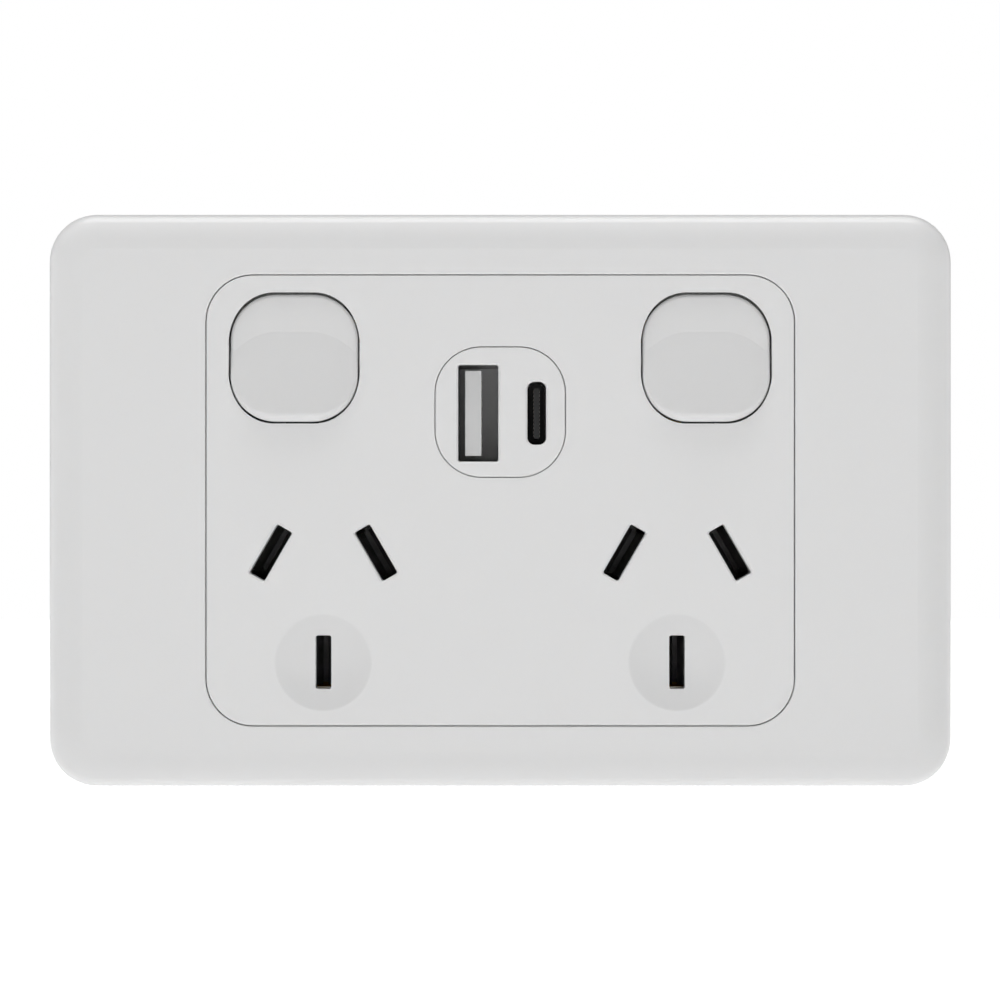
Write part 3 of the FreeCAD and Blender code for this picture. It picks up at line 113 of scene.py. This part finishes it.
@dataclass(frozen=True)
class Finish:
    """A surface: its colour, its gloss and the fine relief that its making left.

    Attributes:
        name: The material and how the surface was made.
        slot: The record's material slot. Not used.
        colour: sRGB hex.
        roughness: Of the shader's main lobe.
        metallic: One for a metal.
        ior: Index of refraction, for what isn't metal.
        grain_mm: Spacing of the relief.
        grain_depth_mm: Height of the relief.
        stretch: How far the relief runs out along X, Y and Z.
        drift_mm: Spacing of the slow change in gloss.
        drift: How far the gloss changes either way.
    """

    name: str
    slot: str
    colour: str
    roughness: float
    metallic: float = 0.0
    ior: float = 1.5
    grain_mm: float = 0.25
    grain_depth_mm: float = 0.002
    stretch: tuple[float, float, float] = (1.0, 1.0, 1.0)
    drift_mm: float = 14.0
    drift: float = 0.03

    def material(self) -> bpy.types.Material:
        """Make the material on its first use.

        Returns:
            The material, shared by all pieces in this finish.
        """
        made = bpy.data.materials.get(self.name)
        if made is None:
            made = bpy.data.materials.new(self.name)
            made.use_nodes = True
            made.node_tree.nodes.clear()
            self.build(made.node_tree)
        return made

    def build(self, tree: bpy.types.NodeTree) -> None:
        """Bring relief, gloss and colour together in one shader.

        Args:
            tree: The material's empty node tree.
        """
        place = add_node(tree, "TexCoord").outputs["Object"]
        shader = add_node(tree, "BsdfPrincipled",
                          {"Base Color": linear(self.colour), "Metallic": self.metallic},
                          {"Normal": self.relief(tree, place), "Roughness": self.gloss(tree, place)})
        if not self.metallic:
            shader.inputs["IOR"].default_value = self.ior
        self.tint(tree, place, shader)
        add_node(tree, "OutputMaterial", links={"Surface": shader.outputs["BSDF"]})

    def relief(self, tree: bpy.types.NodeTree, place: bpy.types.NodeSocket) -> bpy.types.NodeSocket:
        """Draw the fine bump, stretched the way the surface was worked.

        Args:
            tree: The material's node tree.
            place: Where on the object a point lies.

        Returns:
            The bumped normal.
        """
        grain = add_node(tree, "TexNoise", {"Scale": 1 / (self.grain_mm * MM), "Detail": GRAIN_DETAIL},
                         {"Vector": self.stretched(tree, place)})
        bump = add_node(tree, "Bump", {"Strength": 1.0, "Distance": self.grain_depth_mm * MM},
                        {"Height": grain.outputs["Fac"]})
        return bump.outputs["Normal"]

    def gloss(self, tree: bpy.types.NodeTree, place: bpy.types.NodeSocket) -> bpy.types.NodeSocket:
        """Let the roughness drift a little across the piece.

        Args:
            tree: The material's node tree.
            place: Where on the object a point lies.

        Returns:
            The roughness.
        """
        drift = add_node(tree, "TexNoise", {"Scale": 1 / (self.drift_mm * MM), "Detail": DRIFT_DETAIL},
                         {"Vector": place})
        level = add_node(tree, "MapRange",
                         {"To Min": self.roughness - self.drift, "To Max": self.roughness + self.drift},
                         {"Value": drift.outputs["Fac"]})
        return level.outputs["Result"]

    def stretched(self, tree: bpy.types.NodeTree, place: bpy.types.NodeSocket) -> bpy.types.NodeSocket:
        """Stretch the coordinates along the way that the surface was worked.

        Args:
            tree: The material's node tree.
            place: Where on the object a point lies.

        Returns:
            The stretched coordinates.
        """
        spread = add_node(tree, "Mapping", {"Scale": tuple(1 / each for each in self.stretch)},
                          {"Vector": place})
        return spread.outputs["Vector"]

    def tint(self, tree: bpy.types.NodeTree, place: bpy.types.NodeSocket, shader: bpy.types.Node) -> None:
        """A plain finish keeps its one colour."""


@dataclass(frozen=True)
class TwoToneFinish(Finish):
    """A finish whose colour wanders between two tones.

    Attributes:
        other: The second tone, sRGB hex.
        patch_mm: Spacing of the patches.
        turn: Levels of the noise between which one tone turns into the other.
    """

    other: str = "#808080"
    patch_mm: float = 3.0
    turn: tuple[float, float] = (0.35, 0.65)

    def tint(self, tree: bpy.types.NodeTree, place: bpy.types.NodeSocket, shader: bpy.types.Node) -> None:
        """Mix the two tones by slow noise, stretched like the relief.

        Args:
            tree: The material's node tree.
            place: Where on the object a point lies.
            shader: The shader that takes the colour.
        """
        patches = add_node(tree, "TexNoise", {"Scale": 1 / (self.patch_mm * MM), "Detail": PATCH_DETAIL},
                           {"Vector": self.stretched(tree, place)})
        ramp = add_node(tree, "ValToRGB", links={"Fac": patches.outputs["Fac"]})
        for element, level, tone in zip(ramp.color_ramp.elements, self.turn, (self.colour, self.other)):
            element.position = level
            element.color = linear(tone)
        tree.links.new(ramp.outputs["Color"], shader.inputs["Base Color"])


@dataclass(frozen=True)
class MouldedPlastic(Finish):
    """Plastic from a finely eroded mould: one colour through and through, with a soft sheen.

    Attributes:
        depth_mm: How far light travels under the skin.
        scatter: Share of the light that does.
        reach: How far red, green and blue travel, as shares of the depth.
    """

    depth_mm: float = 0.4
    scatter: float = 0.12
    reach: tuple[float, float, float] = (1.0, 0.9, 0.8)

    def tint(self, tree: bpy.types.NodeTree, place: bpy.types.NodeSocket, shader: bpy.types.Node) -> None:
        """Let a little light through the skin, as moulded plastic does.

        Args:
            tree: The material's node tree.
            place: Where on the object a point lies.
            shader: The shader that lets the light through.
        """
        shader.inputs["Subsurface Weight"].default_value = self.scatter
        shader.inputs["Subsurface Radius"].default_value = self.reach
        shader.inputs["Subsurface Scale"].default_value = self.depth_mm * MM


@dataclass(frozen=True)
class DishShadedPlastic(MouldedPlastic):
    """The panel's plastic, with painted shade: its colour is darker in the two round dishes, standing for the
    shade that falls in these hollows.

    Attributes:
        dish_shade_colour: sRGB hex inside a dish.
        dish_x_mm: Distance of either dish from the middle.
        dish_z_mm: Height of the dishes.
        dish_radius_mm: Their radius.
        blur_mm: Width of the change at their rims.
    """

    # Painted shade: the darker colour inside the dishes stands for the shade in the hollows
    dish_shade_colour: str = "#e4e4e4"
    dish_x_mm: float = 23.05
    dish_z_mm: float = -21.09
    dish_radius_mm: float = 6.35
    blur_mm: float = 0.3

    def tint(self, tree: bpy.types.NodeTree, place: bpy.types.NodeSocket, shader: bpy.types.Node) -> None:
        """Fold the panel along its middle and paint the shade of one dish, which stands for both.

        Args:
            tree: The material's node tree.
            place: Where on the object a point lies.
            shader: The shader that takes the colour.
        """
        super().tint(tree, place, shader)
        folded = add_node(tree, "VectorMath", {"operation": "ABSOLUTE"}, {0: place})
        across = add_node(tree, "SeparateXYZ", links={"Vector": folded.outputs["Vector"]})
        height = add_node(tree, "SeparateXYZ", links={"Vector": place})
        flat = add_node(tree, "CombineXYZ", links={"X": across.outputs["X"], "Z": height.outputs["Z"]})
        away = add_node(tree, "VectorMath", {"operation": "DISTANCE"}, {0: flat.outputs["Vector"]})
        away.inputs[1].default_value = (self.dish_x_mm * MM, 0.0, self.dish_z_mm * MM)
        rim = add_node(tree, "MapRange",
                       {"From Min": (self.dish_radius_mm - self.blur_mm) * MM,
                        "From Max": self.dish_radius_mm * MM},
                       {"Value": away.outputs["Value"]})
        # Painted shade: the dish's darker colour inside the rim, the panel's own colour outside it
        ramp = add_node(tree, "ValToRGB", links={"Fac": rim.outputs["Result"]})
        for element, tone in zip(ramp.color_ramp.elements, (self.dish_shade_colour, self.colour)):
            element.color = linear(tone)
        tree.links.new(ramp.outputs["Color"], shader.inputs["Base Color"])


class Finishes:
    """Every finish of the socket."""

    # Pigmented polycarbonate from a spark-eroded mould: even and faintly glossy. Real erosion leaves a
    # grain under 0.1 mm, which is drawn at 0.25 mm here, as fine as a picture of the whole can hold
    WHITE = MouldedPlastic("white_moulded_polycarbonate", "white_polycarbonate", "#e9e9e9", 0.33, ior=1.58,
                           drift_mm=30.0, drift=0.008)
    # The panel is the same resin, with painted shade darkening its two dishes
    PANEL = DishShadedPlastic("white_panel_painted_dish_shade", "white_polycarbonate", "#e9e9e9", 0.33, ior=1.58,
                          drift_mm=30.0, drift=0.008)
    # The rockers are coloured a shade greyer than the panel they sit in: painted shade, for the shade that
    # falls on them in their openings
    SHADED_ROCKER = MouldedPlastic("white_rocker_painted_shade", "white_polycarbonate", "#e4e4e4", 0.33, ior=1.58,
                            drift_mm=30.0, drift=0.008)
    # The box behind comes from a rougher mould: the same family of resin, greyer and matte
    HOUSING = MouldedPlastic("grey_moulded_housing", "grey_housing", "#cfd0cf", 0.55, ior=1.58,
                             grain_mm=0.35, grain_depth_mm=0.006, scatter=0.05)
    # Liquid crystal polymer moulded round the small contacts: matte and nearly black
    BLACK = Finish("black_moulded_contact_block", "black_plastic", "#141414", 0.55, grain_mm=0.2)
    # The same polymer without the black, round the large contacts: matte off-white
    TONGUE = Finish("pale_moulded_contact_block", "tongue_white", "#d6d6d6", 0.5, grain_mm=0.2)
    # Brass sheet, rolled and stamped: fine drawn lines and a slight tarnish
    BRASS = TwoToneFinish("stamped_brass_sheet", "brass", "#c9a962", 0.34, metallic=1.0, grain_mm=0.12,
                          grain_depth_mm=0.004, stretch=(9.0, 1.0, 1.0), other="#b8924a", patch_mm=2.5)
    # Sawn from drawn brass bar: brighter, with the saw's marks across
    BRASS_BAR = TwoToneFinish("sawn_brass_bar", "brass", "#d2b36c", 0.3, metallic=1.0, grain_mm=0.15,
                              grain_depth_mm=0.005, stretch=(1.0, 12.0, 1.0), other="#bb9750", patch_mm=3.0)
    # Tinned brass clips in the pin openings: dull and colourless, so that the slots look dark grey
    TINNED = TwoToneFinish("tinned_brass_clip", "brass", "#8f8f8e", 0.5, metallic=1.0, grain_mm=0.12,
                           grain_depth_mm=0.004, stretch=(9.0, 1.0, 1.0), other="#7d7d7c", patch_mm=2.0)
    # Silver alloy headed cold into the brass: bright and barely warm
    SILVER = Finish("silver_contact_rivet", "silver_contact", "#e6e4de", 0.22, metallic=1.0, grain_mm=0.1)
    # Bright zinc over steel: bluish grey with faint yellow clouds
    ZINC = TwoToneFinish("zinc_plated_steel", "zinc_steel", "#c3c6c8", 0.32, metallic=1.0, grain_mm=0.12,
                         other="#cac5b4", patch_mm=1.6)
    # Nickel-plated steel, satin from the drawing die, with its lines running inwards
    NICKEL = Finish("drawn_nickel_plated_shell", "nickel_shell", "#dcdcdc", 0.46, metallic=1.0, grain_mm=0.12,
                    grain_depth_mm=0.004, stretch=(1.0, 14.0, 1.0))
    # A flash of gold so thin that the palladium nickel under it leaves it grey, barely warm
    GOLD = Finish("gold_flashed_palladium_nickel", "gold_contact", "#8f8d89", 0.35, metallic=1.0,
                  grain_mm=0.1)
    # Hard-drawn steel wire: grey, smooth and shiny
    SPRING = Finish("drawn_spring_wire", "spring_steel", "#b9bbbd", 0.25, metallic=1.0, grain_mm=0.1)
    # Acetal without pigment: waxy off-white
    ACETAL = MouldedPlastic("natural_acetal", "acetal", "#e0dfd8", 0.35, ior=1.48, scatter=0.2)
    # Glass and epoxy under a green mask: glossy, mottled where the weave shows through
    BOARD = TwoToneFinish("solder_masked_board", "circuit_board", "#1f5a34", 0.3, grain_mm=0.6,
                          grain_depth_mm=0.01, other="#2c6f42", patch_mm=1.2)
    # Pressed and fired ferrite: dull, dense and nearly black
    FERRITE = TwoToneFinish("sintered_ferrite", "ferrite", "#2b2a2b", 0.6, grain_mm=0.15, grain_depth_mm=0.01,
                            other="#343233", patch_mm=0.8)
    # Polyester tape wound round the coils: yellow and glossy, with its laps as faint bands
    TAPE = Finish("polyester_winding_tape", "winding_tape", "#d9b427", 0.35, grain_mm=0.8,
                  grain_depth_mm=0.02, stretch=(12.0, 1.0, 12.0))
    # Vinyl shrunk over the can: dark blue, satin, a little puckered
    SLEEVE = Finish("shrunk_capacitor_sleeve", "capacitor_sleeve", "#2b3040", 0.35, grain_mm=0.8,
                    grain_depth_mm=0.01)


def dress(node: str, finish: Finish) -> None:
    """Give a carried-over CAD node its finish.

    Args:
        node: The node's name.
        finish: What it is made of.
    """
    piece = frame["nodes"][node]
    piece.data.materials.clear()
    piece.data.materials.append(finish.material())
    for polygon in piece.data.polygons:
        polygon.material_index = 0
    LOG.info("dressed %s in %s", node, finish.name)


@dataclass
class Faceplate:
    """What the room sees round the controls.

    Attributes:
        surround: The clip-on cover.
        panel: The flush panel with the pin openings and the dishes.
    """

    surround: str = "cover_plate"
    panel: str = "grid_plate"

    def build(self) -> None:
        """Dress both mouldings in the same white."""
        dress(self.surround, Finishes.WHITE)
        dress(self.panel, Finishes.PANEL)


@dataclass
class CoilSpring:
    """The spring behind a plunger, wound from wire.

    Attributes:
        side: Which of the two switches it belongs to.
        wire_mm: The wire's diameter.
        coil_mm: The coil's diameter at the middle of its wire.
        turns: How often the wire goes round.
        start_mm: The first turn's place along the barrel, from the pivot.
        length_mm: From the first turn to the last, middle to middle.
        floor_mm: The barrel's floor, from the pivot. Not used.
        kept: Share of the length that is left when the plunger is in. Not used.
        wire_sides: Points round the wire.
        turn_steps: Points round a turn.
        smooth_degrees: Edges flatter than this are shaded smooth.
    """

    side: Side
    wire_mm: float = 0.4
    coil_mm: float = 2.9
    turns: int = 5
    start_mm: float = -0.74
    length_mm: float = 5.08
    floor_mm: float = -1.0
    kept: float = 0.854
    wire_sides: int = 12
    turn_steps: int = 32
    smooth_degrees: float = 50.0

    def build(self) -> bpy.types.Object:
        """Wind the spring, lay it in its barrel and let it turn with the rocker.

        Returns:
            The finished spring.
        """
        name = self.side.value
        joints = {joint["name"]: joint for joint in frame["joints"]}
        pivot = Vector(joints[f"rocker_{name}_turn"]["pos_m"])
        barrel = Vector(joints[f"plunger_{name}_slide"]["axis"])
        spring = self.wind()
        spring.rotation_euler = (-barrel.angle(Vector((0.0, 0.0, 1.0))), 0.0, 0.0)
        spring.location = pivot
        bpy.ops.object.transform_apply(location=True, rotation=True, scale=True)
        spring.data.materials.append(Finishes.SPRING.material())
        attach(spring, f"rocker_{name}")
        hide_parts(f"spring_{name}")
        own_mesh(spring)
        LOG.info("wound the %s spring in %s", name, Finishes.SPRING.name)
        return spring

    def wind(self) -> bpy.types.Object:
        """Screw the wire's round section up along Z and close both ends.

        Returns:
            The spring, upright on the origin.
        """
        bpy.ops.object.select_all(action="DESELECT")
        bpy.ops.mesh.primitive_circle_add(vertices=self.wire_sides, radius=self.wire_mm * MM / 2,
                                          location=(self.coil_mm * MM / 2, 0.0, self.start_mm * MM),
                                          rotation=(math.pi / 2, 0.0, 0.0))
        spring = bpy.context.object
        spring.name = f"wound_spring_{self.side.value}"
        bpy.ops.object.transform_apply(location=True, rotation=True, scale=True)
        screw = spring.modifiers.new("wind", "SCREW")
        screw.axis = "Z"
        screw.iterations = self.turns
        screw.screw_offset = self.length_mm * MM / self.turns
        screw.steps = screw.render_steps = self.turn_steps
        bpy.ops.object.modifier_apply(modifier="wind")
        bpy.ops.object.mode_set(mode="EDIT")
        bpy.ops.mesh.select_all(action="DESELECT")
        bpy.ops.mesh.select_mode(type="EDGE")
        bpy.ops.mesh.select_non_manifold()
        bpy.ops.mesh.edge_face_add()
        bpy.ops.mesh.select_all(action="SELECT")
        bpy.ops.mesh.normals_make_consistent(inside=False)
        bpy.ops.object.mode_set(mode="OBJECT")
        bpy.ops.object.shade_smooth_by_angle(angle=math.radians(self.smooth_degrees))
        return spring


@dataclass
class SwitchGear:
    """One switch: rocker, sprung plunger and see-saw contact.

    Attributes:
        side: Which of the two sockets it serves.
    """

    side: Side

    def build(self) -> None:
        """Dress the moving pieces and the fixed rivet, and wind the spring."""
        name = self.side.value
        # Painted shade: the rockers' greyer colour stands for the shade in their openings
        dress(f"rocker_{name}", Finishes.SHADED_ROCKER)
        dress(f"plunger_{name}", Finishes.ACETAL)
        CoilSpring(self.side).build()
        dress(f"moving_contact_{name}", Finishes.BRASS)
        dress(f"moving_tip_{name}", Finishes.SILVER)
        dress(f"fixed_tip_{name}", Finishes.SILVER)
        dress(f"active_contact_{name}", Finishes.TINNED)


@dataclass
class Wiring:
    """Strips, terminals and their screws.

    Attributes:
        clips: The strips whose clips show in the pin openings.
        bus: The strip that feeds both switches.
        terminals: The tunnel terminals, from left to right.
        screws: Their clamp screws.
    """

    clips: tuple[str, ...] = ("neutral_strip", "earth_strip")
    bus: str = "active_bus"
    terminals: tuple[str, ...] = ("terminal_loop", "terminal_neutral", "terminal_earth", "terminal_active")
    screws: str = "terminal_screws"

    def build(self) -> None:
        """Dress the brass and the screws."""
        for node in self.clips:
            dress(node, Finishes.TINNED)
        dress(self.bus, Finishes.BRASS)
        for node in self.terminals:
            dress(node, Finishes.BRASS_BAR)
        dress(self.screws, Finishes.ZINC)


@dataclass
class Enclosure:
    """The box behind the panel and the screws that hold it.

    Attributes:
        box: The housing.
        screws: Its four screws.
    """

    box: str = "rear_housing"
    screws: str = "housing_screws"

    def build(self) -> None:
        """Dress the housing and its screws."""
        dress(self.box, Finishes.HOUSING)
        dress(self.screws, Finishes.ZINC)


@dataclass
class Charger:
    """The USB insert, its receptacles and the board behind them.

    Attributes:
        insert: The square face with both openings.
        ports: Each receptacle's start of name and the finish of its tongue.
        board: The circuit board.
        core: The transformer's core.
        winding: The transformer's taped winding.
        capacitors: The sleeved cans on the board.
    """

    insert: str = "usb_insert"
    ports: tuple[tuple[str, Finish], ...] = (("usb_a", Finishes.TONGUE), ("usb_c", Finishes.BLACK))
    board: str = "charger_board"
    core: str = "transformer_core"
    winding: str = "transformer_winding"
    capacitors: tuple[str, ...] = ("input_capacitor", "output_capacitor")

    def build(self) -> None:
        """Dress every piece of the charger."""
        dress(self.insert, Finishes.WHITE)
        for port, tongue in self.ports:
            dress(f"{port}_shell", Finishes.NICKEL)
            dress(f"{port}_tongue", tongue)
            dress(f"{port}_contacts", Finishes.GOLD)
        dress(self.board, Finishes.BOARD)
        dress(self.core, Finishes.FERRITE)
        dress(self.winding, Finishes.TAPE)
        for can in self.capacitors:
            dress(can, Finishes.SLEEVE)


@dataclass(frozen=True)
class Lamp:
    """A soft rectangular lamp aimed at the origin.

    Attributes:
        name: What it does.
        place: Its middle, in metres.
        width: Across, in metres.
        height: Up its own face, in metres.
        watts: Its power.
    """

    name: str
    place: tuple[float, float, float]
    width: float
    height: float
    watts: float

    def build(self) -> None:
        """Hang the lamp at its place and turn it to the origin."""
        data = bpy.data.lights.new(self.name, "AREA")
        data.shape = "RECTANGLE"
        data.size = self.width
        data.size_y = self.height
        data.energy = self.watts
        lamp = bpy.data.objects.new(self.name, data)
        bpy.context.scene.collection.objects.link(lamp)
        lamp.location = self.place
        lamp.rotation_euler = (-Vector(self.place)).to_track_quat("-Z", "Y").to_euler()


@dataclass
class Studio:
    """Pale floor, white surround, soft lamps and the camera.

    Attributes:
        floor_drop: How far the floor lies below the origin, in metres.
        floor_size: The floor's side, in metres.
        floor_colour: The paper's own tone, sRGB hex.
        floor_roughness: The paper is matte.
        floor_glow: How brightly the floor shines of itself under the socket.
        floor_white: How brightly it shines far from the socket, so that it runs out into white.
        glow_start: Distance at which the glow begins to grow, in metres.
        glow_end: Distance at which it is full, in metres.
        surround: Brightness of the surround as it lights the socket.
        camera_distance: From the panel's face to the camera, in metres.
        focal: The lens, in millimetres.
        sensor: The sensor's width, in millimetres.
        near: How close to the camera anything shows, in metres.
        face_depth: The panel's face, in metres from the wall.
        camera_x: The camera's place across, in metres.
        camera_z: The camera's height, in metres.
        lamps: The lamps, each from its own direction.
    """

    floor_drop: float = 0.12
    floor_size: float = 6.0
    floor_colour: str = "#f0f0f0"
    floor_roughness: float = 0.9
    floor_glow: float = 0.36
    floor_white: float = 1.06
    glow_start: float = 0.26
    glow_end: float = 0.41
    surround: float = 0.086
    camera_distance: float = 0.450
    focal: float = 124.4
    sensor: float = 36.0
    near: float = 0.01
    face_depth: float = 0.0086
    camera_x: float = -0.000033
    camera_z: float = 0.000052
    lamps: tuple[Lamp, ...] = field(default_factory=lambda: (
        Lamp("front_softbox", (0.0, -1.3, -0.14), 0.6, 0.25, 2.0),
        Lamp("overhead_strip", (0.0, -0.248, 1.276), 1.2, 0.45, 8.0),
        Lamp("high_front_strip", (0.0, -0.764, 1.052), 1.2, 0.3, 1.5),
        Lamp("upper_left_softbox", (-0.874, -0.402, 0.874), 0.6, 0.3, 1.15),
        Lamp("left_softbox", (-1.221, -0.445, 0.043), 0.4, 0.3, 0.15),
        Lamp("top_rim_strip", (0.0, 0.226, 1.28), 1.2, 0.3, 3.8),
        Lamp("left_rim_softbox", (-1.217, 0.445, 0.107), 0.5, 0.5, 0.95),
        Lamp("right_rim_softbox", (1.217, 0.445, 0.107), 0.5, 0.5, 1.0),
    ))

    def build(self) -> None:
        """Set the whole studio."""
        bpy.context.scene.view_settings.view_transform = "Standard"
        self.build_floor()
        self.build_surround()
        for lamp in self.lamps:
            lamp.build()
        self.build_camera()

    def build_floor(self) -> None:
        """Lay a plain pale floor that brightens with distance until it meets the surround."""
        bpy.ops.object.select_all(action="DESELECT")
        bpy.ops.mesh.primitive_plane_add(size=self.floor_size, location=(0.0, 0.0, -self.floor_drop))
        floor = bpy.context.object
        floor.name = "studio_floor"
        material = bpy.data.materials.new("white_paper_floor")
        material.use_nodes = True
        tree = material.node_tree
        tree.nodes.clear()
        place = add_node(tree, "TexCoord").outputs["Object"]
        away = add_node(tree, "VectorMath", {"operation": "LENGTH"}, {0: place})
        glow = add_node(tree, "MapRange",
                        {"From Min": self.glow_start, "From Max": self.glow_end,
                         "To Min": self.floor_glow, "To Max": self.floor_white},
                        {"Value": away.outputs["Value"]})
        shader = add_node(tree, "BsdfPrincipled",
                          {"Base Color": linear(self.floor_colour), "Roughness": self.floor_roughness,
                           "Emission Color": linear(PURE_WHITE)},
                          {"Emission Strength": glow.outputs["Result"]})
        add_node(tree, "OutputMaterial", links={"Surface": shader.outputs["BSDF"]})
        floor.data.materials.append(material)

    def build_surround(self) -> None:
        """Put white all round: full white to look at, dimmer as a light."""
        world = bpy.data.worlds.new("white_surround")
        bpy.context.scene.world = world
        world.use_nodes = True
        tree = world.node_tree
        tree.nodes.clear()
        seen = add_node(tree, "LightPath").outputs["Is Camera Ray"]
        lit = add_node(tree, "Background", {"Color": linear(PURE_WHITE), "Strength": self.surround})
        shown = add_node(tree, "Background", {"Color": linear(PURE_WHITE), "Strength": 1.0})
        mix = add_node(tree, "MixShader", links={"Fac": seen})
        tree.links.new(lit.outputs["Background"], mix.inputs[1])
        tree.links.new(shown.outputs["Background"], mix.inputs[2])
        add_node(tree, "OutputWorld", links={"Surface": mix.outputs["Shader"]})

    def build_camera(self) -> None:
        """Stand the camera square on to the middle of the plate."""
        data = bpy.data.cameras.new("camera")
        data.lens = self.focal
        data.sensor_width = self.sensor
        data.clip_start = self.near
        camera = bpy.data.objects.new("camera", data)
        bpy.context.scene.collection.objects.link(camera)
        camera.location = (self.camera_x, -self.face_depth - self.camera_distance, self.camera_z)
        camera.rotation_euler = (math.pi / 2, 0.0, 0.0)
        bpy.context.scene.camera = camera


def main() -> None:
    """Dress the socket piece by piece and set the studio."""
    logging.basicConfig(level=logging.INFO, format="%(message)s")
    Faceplate().build()
    for side in Side:
        SwitchGear(side).build()
    Wiring().build()
    Enclosure().build()
    Charger().build()
    Studio().build()


if __name__ == "__main__":
    main()
